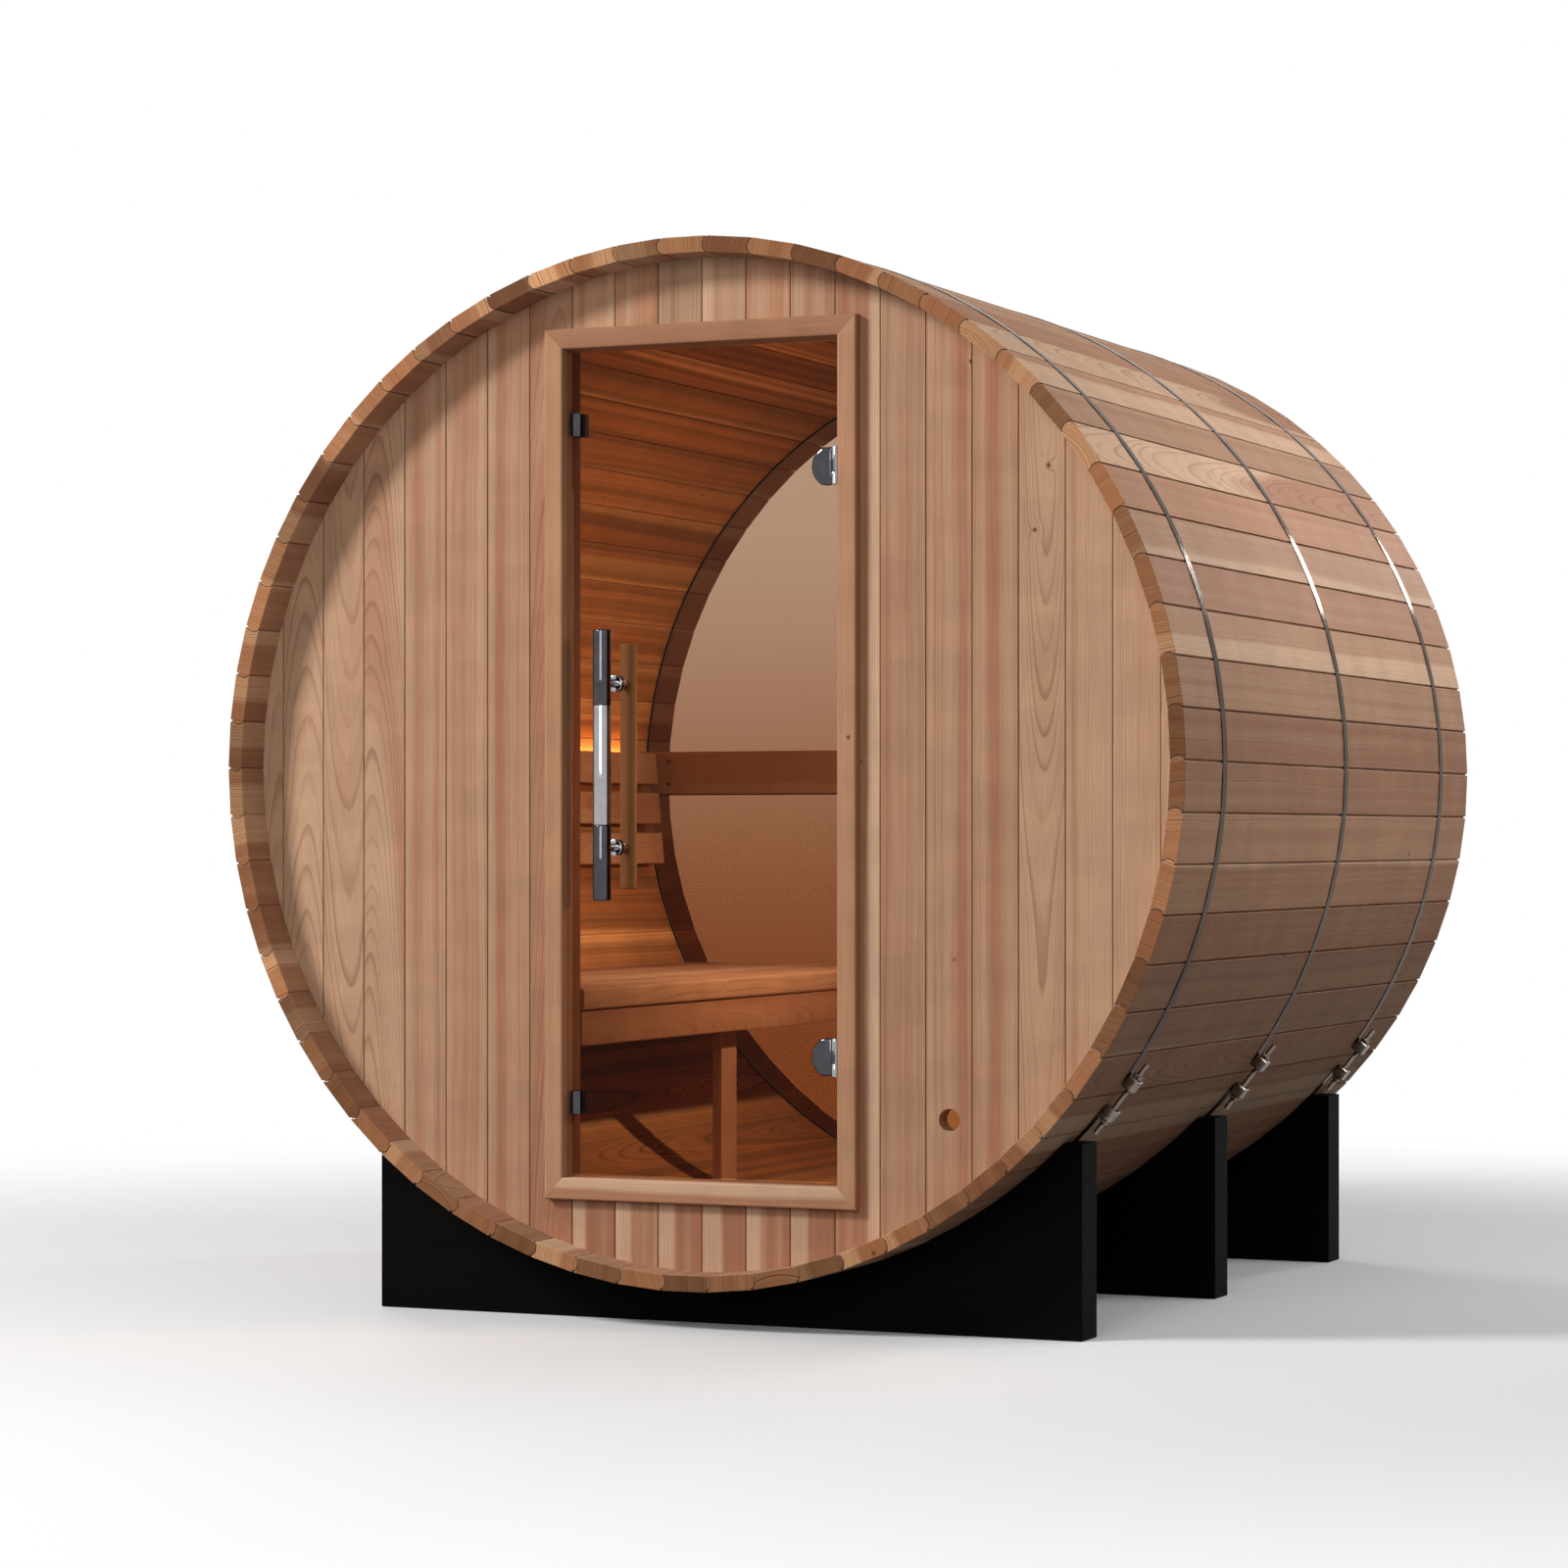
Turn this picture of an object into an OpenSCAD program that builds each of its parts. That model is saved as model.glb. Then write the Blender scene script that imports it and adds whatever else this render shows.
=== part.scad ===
// Barrel sauna: bead-and-cove staves held by three steel hoops, lying in three
// timber cradles. The front end is boarded, with a tinted glass door. The rear
// end is glazed in two panes with a rail across. Millimetres, +Z up, door side
// towards -Y, origin on the ground under the middle of the barrel.

/* [Barrel] */
// Outside diameter over the stave corners
barrel_d = 1830; // [1780:10:2000]
// Length of the staves
barrel_len = 1800; // [1600:10:2400]
// Height of the barrel's underside above the ground
barrel_clear = 70; // [40:1:150]
// Number of staves, in six equal segments
stave_count = 66; // [60:6:72]
// Thickness of a stave
stave_t = 28; // [26:1:34]
// Radius of the bead along one edge of a stave
bead_r = 16; // [15.5:0.5:20]
// How far the bead stands out of the stave's edge
bead_rise = 7; // [4:0.5:8]
// Easing of the two outer edges of a stave
stave_ease = 1.5; // [0.5:0.25:2.5]
// Clearance in the joint between two staves
joint_gap = 0.3; // [0.1:0.05:0.5]

/* [Hoops] */
// Width of a hoop
hoop_w = 22; // [16:1:30]
// Thickness of a hoop
hoop_t = 1; // [0.8:0.1:2]
// From either rim to the middle of the hoop near it
hoop_inset = 206; // [180:1:260]
// From the barrel's middle to the middle hoop, towards the rear
hoop_offset = 28; // [-40:1:40]
// Edge of a tensioner's cube-shaped blocks
tensioner_block = 24; // [20:1:28]
// Distance between the middles of the two blocks
tensioner_spacing = 66; // [50:1:90]
// Diameter of the tensioner's rod
rod_d = 9; // [6:0.5:12]
// Length of the tensioner's rod
rod_len = 154; // [130:1:160]
// From the rod's lower end to the cradle's tip, along the barrel
rod_clear = 10; // [6:1:60]

/* [Cradles] */
// Height of a cradle's tips above the barrel's underside
cradle_rise = 267; // [200:1:300]
// Width of the flat top of a cradle's tip
cradle_tip_w = 34; // [20:1:80]
// Thickness of a cradle along the barrel
cradle_t = 74; // [60:1:90]
// From the front rim to the front cradle
cradle_front_inset = 148; // [120:1:180]
// From the rear rim to the rear cradle
cradle_rear_inset = 121; // [100:1:180]
// From the barrel's middle to the middle cradle's middle, towards the rear
cradle_offset = 9; // [-40:1:40]

/* [End walls] */
// Depth of the groove round the staves that holds an end wall
croze_depth = 10; // [8:1:14]
// Thickness of the front wall
wall_t = 38; // [30:1:45]
// From the front rim to the face of the front wall
wall_setback = 76; // [70:1:110]
// Diameter of the vent hole
vent_d = 38; // [30:1:60]
// Place of the vent hole, as an angle clockwise from the top
vent_angle = 142.6; // [130:0.1:145]
// From the inside of the staves to the middle of the vent hole
vent_margin = 119; // [80:1:160]
// Thickness of the rear glass
rear_glass_t = 8; // [6:1:12]
// From the rear rim to the outside of the rear glass
rear_setback = 106; // [90:1:140]
// Gap between the two rear panes, behind the rail
pane_gap = 2; // [1:0.5:6]
// Height of the rear rail
rail_h = 89; // [70:1:120]
// Thickness of the rear rail
rail_t = 38; // [20:1:50]
// Height of the rear rail's middle above the barrel's axis
rail_rise = 13; // [-40:1:40]

/* [Doorway] */
// Clear width of the doorway
door_w = 529; // [500:1:600]
// From the highest stave's inside down to the top of the doorway
door_top_margin = 149; // [140:1:200]
// From the lowest stave's inside up to the bottom of the doorway
door_bottom_margin = 157; // [145:1:200]
// Thickness of the doorway's lining
jamb_t = 19.5; // [15:0.5:25]
// How far the lining stands out inside the cabin
jamb_inner = 17; // [5:1:30]
// Thickness of the casing
casing_t = 19; // [15:0.5:25]
// Width of the casing beside the doorway
casing_side_w = 35.5; // [30:0.5:45]
// Width of the casing over the doorway
casing_top_w = 36; // [30:0.5:45]
// Width of the casing under the doorway
casing_bottom_w = 39; // [30:0.5:45]
// Radius on the casing's two front edges
casing_ease = 4; // [2:0.5:8]

/* [Door] */
// Thickness of the door's glass
glass_t = 8; // [6:1:12]
// From the front wall's face back to the door's glass
glass_inset = 9; // [6:1:14]
// Gap between the door's glass and the lining
door_gap = 6; // [5:0.5:10]
// Diameter of the outer steel bar
bar_d = 32; // [24:1:36]
// Length of the outer steel bar
bar_len = 476; // [380:1:600]
// From the glass to the middle of the outer bar
bar_reach = 53; // [45:1:56]
// Diameter of the inner wooden bar
grip_d = 30; // [24:1:36]
// Length of the inner wooden bar
grip_len = 436; // [380:1:600]
// From the glass to the middle of the inner bar
grip_reach = 45; // [40:1:56]
// From the door's middle to the bars
bar_x = 173; // [140:1:200]
// Distance between the two posts that carry a bar
post_spacing = 290; // [200:1:340]
// Diameter of a post
post_d = 16; // [12:1:20]
// Diameter of a post's rose on the glass
rose_d = 30; // [24:1:34]
// Thickness of a post's rose
rose_t = 5; // [3:0.5:8]

/* [Hinges and catches] */
// From the doorway's top or bottom to the middle of a hinge
hinge_inset = 222; // [120:1:300]
// Height of a hinge
hinge_h = 65; // [50:1:80]
// Width of the hinge plate on the glass
plate_w = 39; // [36:1:60]
// Thickness of the hinge plate and of the catch clip
plate_t = 4; // [3:0.5:5]
// Diameter of the hinge knuckles
knuckle_d = 11; // [10:0.5:14]
// Diameter of the hinge pin
pin_d = 6; // [4:0.5:7]
// Clearance round the hinge pin and between the knuckles
pin_gap = 0.4; // [0.2:0.1:0.6]
// Thickness of the hinge bracket on the lining
bracket_t = 2.5; // [2:0.5:3]
// From the lining's face to the hinge's axis
hinge_reach = 13; // [12:0.5:16]
// From the doorway's top or bottom to the middle of a catch
catch_inset = 132; // [90:1:180]
// Height of a catch
catch_h = 41; // [30:1:60]
// Width of a catch clip on the glass
clip_w = 18; // [14:1:24]
// Thickness of a clip round the edge of the glass
clip_web = 1; // [0.5:0.1:1]
// Depth of a catch block on the lining
block_t = 14; // [8:1:16]
// Gap between a closed clip and its block
catch_gap = 5; // [5:0.5:8]

/* [Bench and backrest] */
// Height of the seat's top above the lowest stave's inside
seat_h = 488; // [440:1:540]
// Thickness of the seat
seat_t = 38; // [28:1:45]
// From the barrel's middle plane to the front of the bench
bench_front = 260; // [220:1:400]
// Radius on the seat's front edges
seat_ease = 5; // [2:0.5:10]
// Gap behind the lining, and between the bench and the rear glass
bench_gap = 6; // [2:1:30]
// Height of the fascia under the seat
fascia_h = 64; // [50:1:90]
// Thickness of the fascia
fascia_t = 28; // [20:1:40]
// Width of the leg along the bench
leg_w = 70; // [50:1:90]
// Thickness of the leg
leg_t = 20; // [16:1:28]
// From the fascia's face back to the leg's face
leg_setback = 65; // [40:1:120]
// Number of backrest slats
slat_count = 3; // [2:1:4]
// Height of a slat
slat_h = 67; // [50:1:75]
// Thickness of a slat
slat_t = 18; // [14:1:24]
// Gap between two slats
slat_gap = 19; // [12:1:24]
// Height of the backrest's middle above the barrel's axis
back_rise = -64; // [-90:1:-20]
// From the staves to the backrest's face, level with the barrel's axis
back_depth = 54; // [50:1:90]
// Lean of the backrest, in degrees
back_lean = 5; // [0:0.5:8]
// Gap between the backrest and the front wall
back_margin = 31; // [20:1:60]
// Gap between the backrest and the rear rail
back_gap = 5; // [2:1:30]
// Number of battens behind the slats
batten_count = 3; // [2:1:5]
// Width of a batten
batten_w = 38; // [25:1:60]

/* [Fits] */
// Clearance of the end walls in their grooves
croze_fit = 0.2; // [0.1:0.05:0.5]
// Clearance between the staves and a hoop or cradle
seat_fit = 0.2; // [0.1:0.05:0.5]
// Room for a hoop where it passes under a cradle
hoop_room = 1.5; // [1:0.5:4]

/* [Hidden] */
$fn = 64;

cedar = [0.78, 0.55, 0.38];
pale_cedar = [0.84, 0.64, 0.47];
inner_cedar = [0.66, 0.42, 0.24];
black_stain = [0.08, 0.08, 0.09];
steel = [0.75, 0.76, 0.78];
tinted = [0.35, 0.22, 0.14, 0.5];

// Staves: angle of one stave, and flat faces that lie between its corners
pitch = 360 / stave_count;
segment_staves = stave_count / 6;
corner_r = barrel_d / 2;
outer_flat = corner_r * cos(pitch / 2);
inner_flat = outer_flat - stave_t;
inner_corner = inner_flat / cos(pitch / 2);
middle_corner = (inner_flat + outer_flat) / 2 / cos(pitch / 2);
bead_back = bead_r - bead_rise;
axis_h = corner_r + barrel_clear;

// Planes along the barrel
front_y = -barrel_len / 2;
rear_y = barrel_len / 2;
wall_y = front_y + wall_setback;
cabin_y = wall_y + wall_t;
jamb_y = cabin_y + jamb_inner;
casing_y = wall_y - casing_t;
glass_y = wall_y + glass_inset;
rear_glass_y = rear_y - rear_setback - rear_glass_t;
hoop_ys = [front_y + hoop_inset, hoop_offset, rear_y - hoop_inset];
cradle_ys = [
    front_y + cradle_front_inset,
    cradle_offset - cradle_t / 2,
    rear_y - cradle_rear_inset - cradle_t
];

// Cradles: height and half width of their tops
cradle_h = barrel_clear + cradle_rise;
cradle_dip = corner_r - cradle_rise;
cradle_half = sqrt(corner_r * corner_r - cradle_dip * cradle_dip) + cradle_tip_w;

// Tensioners: angle clockwise from the top, just above the cradles' right tips
cradle_tip_angle = atan2(cradle_half, -cradle_dip);
tensioner_angle = cradle_tip_angle - (rod_len / 2 + rod_clear) / corner_r * 180 / PI;

// End walls and doorway
end_r = inner_flat + croze_depth - croze_fit;
vent_r = inner_flat - vent_margin;
door_rise = inner_flat - door_top_margin;
door_drop = inner_flat - door_bottom_margin;
open_half = door_w / 2;
rough_half = open_half + jamb_t;
rough_rise = door_rise + jamb_t;
rough_drop = door_drop + jamb_t;
casing_half = open_half + casing_side_w;
casing_rise = door_rise + casing_top_w;
casing_drop = door_drop + casing_bottom_w;

// Door leaf, hinges and catches
leaf_half = open_half - door_gap;
leaf_rise = door_rise - door_gap;
leaf_drop = door_drop - door_gap;
hinge_x = open_half - hinge_reach;
hinge_y = glass_y - knuckle_d / 2;
hinge_zs = [-door_drop + hinge_inset, door_rise - hinge_inset];
knuckle_h = (hinge_h - 2 * pin_gap) / 3;
catch_zs = [-door_drop + catch_inset, door_rise - catch_inset];

// Bench and backrest
seat_drop = inner_flat - seat_h;
back_face = inner_flat - back_depth;
bench_y = jamb_y + bench_gap;
bench_end = rear_glass_y - bench_gap;
back_y = cabin_y + back_margin;
back_end = rear_glass_y - rail_t - back_gap;
back_len = back_end - back_y;
slat_pitch = slat_h + slat_gap;
back_h = slat_count * slat_pitch - slat_gap;

// A flat section, drawn across the barrel about its axis, run along the barrel
module along_barrel(y, len) {
    translate([0, y + len, axis_h])
    rotate([90, 0, 0])
    linear_extrude(len)
    children();
}

// A circle about the barrel's axis
module barrel_circle(r) {
    circle(r, $fn = 360);
}

// Places children, in 2D, at an angle clockwise from the top
module turned(angle) {
    rotate(-angle)
    children();
}

// Section of the cabin inside the staves
module cabin_section() {
    polygon([for (i = [0 : stave_count - 1])
        inner_corner * [sin((i + 0.5) * pitch), cos((i + 0.5) * pitch)]]);
}

// A circle on the left edge of a stave, from which both bead and cove are made
module bead_circle(r) {
    turned(-pitch / 2)
    translate([bead_back, middle_corner])
    circle(r);
}

// Half of the stave's width at a distance from the barrel's axis
function half_width(v) = v * tan(pitch / 2) - joint_gap / 2;

// Section of the stave at the top: bead on the left, cove on the right
module stave_section() {
    ease_v = outer_flat - stave_ease;
    right_edge = [
        [half_width(inner_flat), inner_flat],
        [half_width(ease_v), ease_v],
        [half_width(outer_flat) - stave_ease, outer_flat]
    ];
    left_edge = [for (i = [2 : -1 : 0]) [-right_edge[i][0], right_edge[i][1]]];
    difference() {
        intersection() {
            union() {
                polygon(concat(right_edge, left_edge));
                bead_circle(bead_r);
            }
            translate([-corner_r, inner_flat])
            square([2 * corner_r, stave_t]);
        }
        turned(pitch)
        bead_circle(bead_r + joint_gap);
    }
}

// Groove across one stave for an end wall that starts at y
module croze(angle, y, t) {
    along_barrel(y - croze_fit, t + 2 * croze_fit)
    turned(angle)
    translate([-corner_r * sin(pitch), inner_flat - stave_t])
    square([2 * corner_r * sin(pitch), stave_t + croze_depth]);
}

// One sixth of the barrel's wall, about a middle angle
module staves(segment) {
    color(cedar)
    for (i = [0 : segment_staves - 1]) {
        angle = (segment * segment_staves + i - (segment_staves - 1) / 2) * pitch;
        difference() {
            along_barrel(front_y, barrel_len)
            turned(angle)
            stave_section();
            croze(angle, wall_y, wall_t);
            croze(angle, rear_glass_y, rear_glass_t);
        }
    }
}

module staves_top() { staves(0); }
module staves_upper_right() { staves(1); }
module staves_lower_right() { staves(2); }
module staves_bottom() { staves(3); }
module staves_lower_left() { staves(4); }
module staves_upper_left() { staves(5); }

// Steel hoop, cut open between the blocks of its tensioner
module hoop(y) {
    color(steel)
    along_barrel(y - hoop_w / 2, hoop_w)
    difference() {
        barrel_circle(corner_r + seat_fit + hoop_t);
        barrel_circle(corner_r + seat_fit);
        turned(tensioner_angle)
        translate([-tensioner_spacing / 2, 0])
        square([tensioner_spacing, barrel_d]);
    }
}

module hoop_front() { hoop(hoop_ys[0]); }
module hoop_middle() { hoop(hoop_ys[1]); }
module hoop_rear() { hoop(hoop_ys[2]); }

// Two blocks on the ends of a hoop, drawn together by a rod
module tensioner(y) {
    block_v = corner_r + seat_fit + hoop_t;
    color(steel)
    translate([0, y, axis_h])
    rotate([0, tensioner_angle, 0])
    translate([0, 0, block_v]) {
        for (side = [-1, 1])
            translate([side * tensioner_spacing / 2, 0, tensioner_block / 2])
            cube(tensioner_block, center = true);
        translate([0, 0, tensioner_block / 2])
        rotate([0, 90, 0])
        cylinder(d = rod_d, h = rod_len, center = true);
    }
}

module tensioner_front() { tensioner(hoop_ys[0]); }
module tensioner_middle() { tensioner(hoop_ys[1]); }
module tensioner_rear() { tensioner(hoop_ys[2]); }

// Timber cut to the barrel's round, with room for any hoop that crosses it
module cradle(y) {
    color(black_stain)
    difference() {
        along_barrel(y, cradle_t)
        difference() {
            translate([-cradle_half, -axis_h])
            square([2 * cradle_half, cradle_h]);
            barrel_circle(corner_r + seat_fit);
        }
        for (hoop_y = hoop_ys)
            along_barrel(hoop_y - hoop_w / 2 - hoop_room, hoop_w + 2 * hoop_room)
            barrel_circle(corner_r + seat_fit + hoop_t + hoop_room);
    }
}

module cradle_front() { cradle(cradle_ys[0]); }
module cradle_middle() { cradle(cradle_ys[1]); }
module cradle_rear() { cradle(cradle_ys[2]); }

// Part of the boarded front wall inside a rectangle given from corner to corner
module wall_part(low, high) {
    along_barrel(wall_y, wall_t)
    intersection() {
        barrel_circle(end_r);
        translate(low)
        square(high - low);
    }
}

module front_wall_left() {
    color(pale_cedar)
    wall_part([-corner_r, -corner_r], [-rough_half, corner_r]);
}

module front_wall_right() {
    color(pale_cedar)
    difference() {
        wall_part([rough_half, -corner_r], [corner_r, corner_r]);
        translate([0, wall_y + wall_t / 2, axis_h])
        rotate([0, vent_angle, 0])
        translate([0, 0, vent_r])
        rotate([90, 0, 0])
        cylinder(d = vent_d, h = 2 * wall_t, center = true);
    }
}

module front_wall_above_door() {
    color(pale_cedar)
    wall_part([-rough_half, rough_rise], [rough_half, corner_r]);
}

module front_wall_below_door() {
    color(pale_cedar)
    wall_part([-rough_half, -corner_r], [rough_half, -rough_drop]);
}

// Lining of the doorway inside a rectangle given from corner to corner
module lining(low, high) {
    color(cedar)
    along_barrel(wall_y, jamb_y - wall_y)
    translate(low)
    square(high - low);
}

module door_jambs() {
    lining([-rough_half, -door_drop], [-open_half, door_rise]);
    lining([open_half, -door_drop], [rough_half, door_rise]);
}

module door_head() {
    lining([-rough_half, door_rise], [rough_half, rough_rise]);
}

module door_sill() {
    lining([-rough_half, -rough_drop], [rough_half, -door_drop]);
}

// Section of the casing, from 0 to w across, with its front edges rounded
module casing_section(w) {
    translate([0, casing_ease])
    square([w, casing_t - casing_ease]);
    translate([casing_ease, 0])
    square([w - 2 * casing_ease, casing_t]);
    for (u = [casing_ease, w - casing_ease])
        translate([u, casing_ease])
        circle(casing_ease);
}

// Upright casing from x to x + w, mitred to an outline
module casing_side(x, w, outline) {
    color(cedar)
    intersection() {
        translate([x, casing_y, axis_h - casing_drop])
        linear_extrude(casing_drop + casing_rise)
        casing_section(w);
        along_barrel(casing_y, casing_t)
        polygon(outline);
    }
}

// Level casing from z to z + w, mitred to an outline
module casing_level(z, w, outline) {
    color(cedar)
    intersection() {
        translate([-casing_half, casing_y, axis_h + z + w])
        rotate([0, 90, 0])
        linear_extrude(2 * casing_half)
        casing_section(w);
        along_barrel(casing_y, casing_t)
        polygon(outline);
    }
}

module casing_left() {
    casing_side(-casing_half, casing_side_w, [
        [-casing_half, -casing_drop], [-open_half, -door_drop],
        [-open_half, door_rise], [-casing_half, casing_rise]
    ]);
}

module casing_right() {
    casing_side(open_half, casing_side_w, [
        [open_half, -door_drop], [casing_half, -casing_drop],
        [casing_half, casing_rise], [open_half, door_rise]
    ]);
}

module casing_top() {
    casing_level(door_rise, casing_top_w, [
        [-open_half, door_rise], [open_half, door_rise],
        [casing_half, casing_rise], [-casing_half, casing_rise]
    ]);
}

module casing_bottom() {
    casing_level(-casing_drop, casing_bottom_w, [
        [-casing_half, -casing_drop], [casing_half, -casing_drop],
        [open_half, -door_drop], [-open_half, -door_drop]
    ]);
}

module door_glass() {
    color(tinted)
    along_barrel(glass_y, glass_t)
    translate([-leaf_half, -leaf_drop])
    square([2 * leaf_half, leaf_drop + leaf_rise]);
}

// Upright bar on two posts; side is -1 in front of the glass and 1 behind it
module handle(side, face_y, reach, d, len) {
    translate([-bar_x, face_y, axis_h]) {
        translate([0, side * reach, -len / 2])
        cylinder(d = d, h = len);
        for (z = [-post_spacing / 2, post_spacing / 2])
            translate([0, 0, z])
            rotate([-side * 90, 0, 0]) {
                cylinder(d = post_d, h = reach);
                cylinder(d = rose_d, h = rose_t);
            }
    }
}

module handle_outer() {
    color(steel)
    handle(-1, glass_y, bar_reach, bar_d, bar_len);
}

module handle_inner() {
    color(cedar)
    handle(1, glass_y + glass_t, grip_reach, grip_d, grip_len);
}

// D-shaped plate whose straight edge is at x = 0 and whose round edge is at -w
module hinge_plate_section() {
    round_r = (hinge_h * hinge_h / 4 + plate_w * plate_w / 4) / plate_w;
    intersection() {
        translate([-plate_w, -hinge_h / 2])
        square([plate_w, hinge_h]);
        translate([round_r - plate_w, 0])
        circle(round_r);
    }
}

// Clamp plates on both faces of the glass, with the middle knuckle
module hinge_plates() {
    plate_x = hinge_x - knuckle_d / 2 - pin_gap;
    color(steel)
    for (z = hinge_zs)
        translate([0, 0, z])
        difference() {
            union() {
                for (y = [glass_y - plate_t, glass_y + glass_t])
                    along_barrel(y, plate_t)
                    translate([plate_x, 0])
                    hinge_plate_section();
                translate([plate_x - plate_t, glass_y - plate_t, axis_h - knuckle_h / 2])
                cube([hinge_x - plate_x + plate_t, plate_t, knuckle_h]);
                translate([hinge_x, hinge_y, axis_h - knuckle_h / 2])
                cylinder(d = knuckle_d, h = knuckle_h);
            }
            translate([hinge_x, hinge_y, axis_h - hinge_h])
            cylinder(d = pin_d + 2 * pin_gap, h = 2 * hinge_h);
        }
}

// Bracket on the lining, with the two outer knuckles and the pin
module hinge_brackets() {
    color(steel)
    for (z = hinge_zs)
        translate([0, 0, axis_h + z]) {
            translate([open_half - bracket_t, casing_y, -hinge_h / 2])
            cube([bracket_t, hinge_y - casing_y, hinge_h]);
            translate([hinge_x, hinge_y, -hinge_h / 2])
            cylinder(d = pin_d, h = hinge_h);
            for (low = [-hinge_h / 2, hinge_h / 2 - knuckle_h]) {
                translate([hinge_x, hinge_y, low])
                cylinder(d = knuckle_d, h = knuckle_h);
                translate([hinge_x, hinge_y - bracket_t, low])
                cube([hinge_reach, bracket_t, knuckle_h]);
            }
        }
}

// Box whose height is given from the barrel's axis
module box_at(low, size) {
    translate(low + [0, 0, axis_h])
    cube(size);
}

// Clip folded over the edge of the glass
module catch_clips() {
    color(steel)
    for (z = catch_zs)
        difference() {
            box_at(
                [-leaf_half - clip_web, glass_y - plate_t, z - catch_h / 2],
                [clip_w + clip_web, glass_t + 2 * plate_t, catch_h]
            );
            box_at([-leaf_half, glass_y, z - catch_h], [2 * clip_w, glass_t, 2 * catch_h]);
        }
}

// Block on the lining, behind the clip
module catch_blocks() {
    block_y = glass_y + glass_t + plate_t + catch_gap;
    color(black_stain)
    for (z = catch_zs)
        box_at(
            [-open_half, block_y, z - catch_h / 2],
            [door_gap + clip_w, block_t, catch_h]
        );
}

// Half of the round rear glass, from the pane gap up or down
module rear_pane(side) {
    color(tinted)
    along_barrel(rear_glass_y, rear_glass_t)
    intersection() {
        barrel_circle(end_r);
        translate([-corner_r, rail_rise + (side > 0 ? pane_gap / 2 : -pane_gap / 2 - barrel_d)])
        square([barrel_d, barrel_d]);
    }
}

module rear_glass_upper() { rear_pane(1); }
module rear_glass_lower() { rear_pane(-1); }

module rear_rail() {
    color(inner_cedar)
    along_barrel(rear_glass_y - rail_t, rail_t)
    intersection() {
        cabin_section();
        translate([-corner_r, rail_rise - rail_h / 2])
        square([barrel_d, rail_h]);
    }
}

// Seat cut to the staves at the back and round the doorway's lining in front
module bench_seat() {
    color(inner_cedar)
    difference() {
        along_barrel(cabin_y, bench_end - cabin_y)
        intersection() {
            cabin_section();
            translate([-corner_r, -seat_drop - seat_t])
            seat_front_section(corner_r - bench_front);
        }
        translate([-rough_half - bench_gap, front_y, axis_h - corner_r])
        cube([rough_half, bench_y - front_y, barrel_d]);
    }
}

// Seat of a given width from 0, with both edges of its front rounded
module seat_front_section(w) {
    square([w - seat_ease, seat_t]);
    translate([0, seat_ease])
    square([w, seat_t - 2 * seat_ease]);
    for (v = [seat_ease, seat_t - seat_ease])
        translate([w - seat_ease, v])
        circle(seat_ease);
}

module bench_fascia() {
    color(inner_cedar)
    along_barrel(bench_y, bench_end - bench_y)
    translate([-bench_front - seat_ease - fascia_t, -seat_drop - seat_t - fascia_h])
    square([fascia_t, fascia_h]);
}

// Leg under the middle of the seat, cut to the staves at its foot
module bench_leg() {
    color(inner_cedar)
    along_barrel((bench_y + bench_end - leg_w) / 2, leg_w)
    intersection() {
        cabin_section();
        translate([-bench_front - seat_ease - leg_setback - leg_t, -corner_r])
        square([leg_t, corner_r - seat_drop - seat_t]);
    }
}

// Leaning frame of the backrest: +X out of its face, +Z up along it
module on_backrest() {
    translate([-back_face, 0, axis_h + back_rise])
    rotate([0, -back_lean, 0])
    children();
}

module backrest_slats() {
    color(inner_cedar)
    on_backrest()
    for (i = [0 : slat_count - 1])
        translate([-slat_t, back_y, -back_h / 2 + i * slat_pitch])
        cube([slat_t, back_len, slat_h]);
}

// Battens between the slats and the staves
module backrest_battens() {
    batten_step = (back_len - batten_w) / (batten_count - 1);
    color(inner_cedar)
    for (i = [0 : batten_count - 1])
        intersection() {
            along_barrel(back_y + i * batten_step, batten_w)
            cabin_section();
            on_backrest()
            translate([-slat_t - back_h, front_y, -back_h / 2])
            cube([back_h, barrel_len, back_h]);
        }
}

staves_top();
staves_upper_right();
staves_lower_right();
staves_bottom();
staves_lower_left();
staves_upper_left();
hoop_front();
hoop_middle();
hoop_rear();
tensioner_front();
tensioner_middle();
tensioner_rear();
cradle_front();
cradle_middle();
cradle_rear();
front_wall_left();
front_wall_right();
front_wall_above_door();
front_wall_below_door();
door_jambs();
door_head();
door_sill();
casing_left();
casing_right();
casing_top();
casing_bottom();
door_glass();
handle_outer();
handle_inner();
hinge_plates();
catch_clips();
hinge_brackets();
catch_blocks();
rear_glass_upper();
rear_glass_lower();
rear_rail();
bench_seat();
bench_fascia();
bench_leg();
backrest_slats();
backrest_battens();
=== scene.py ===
"""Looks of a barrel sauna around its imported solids, in metres.

Every board is modelled on its own and carries the place that it had in its log, so
that the growth rings of the cedar run on from its faces into its end grain.
"""

import math
import random

import bmesh
import bpy
from mathutils import Matrix, Vector
from mathutils.geometry import tessellate_polygon


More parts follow.
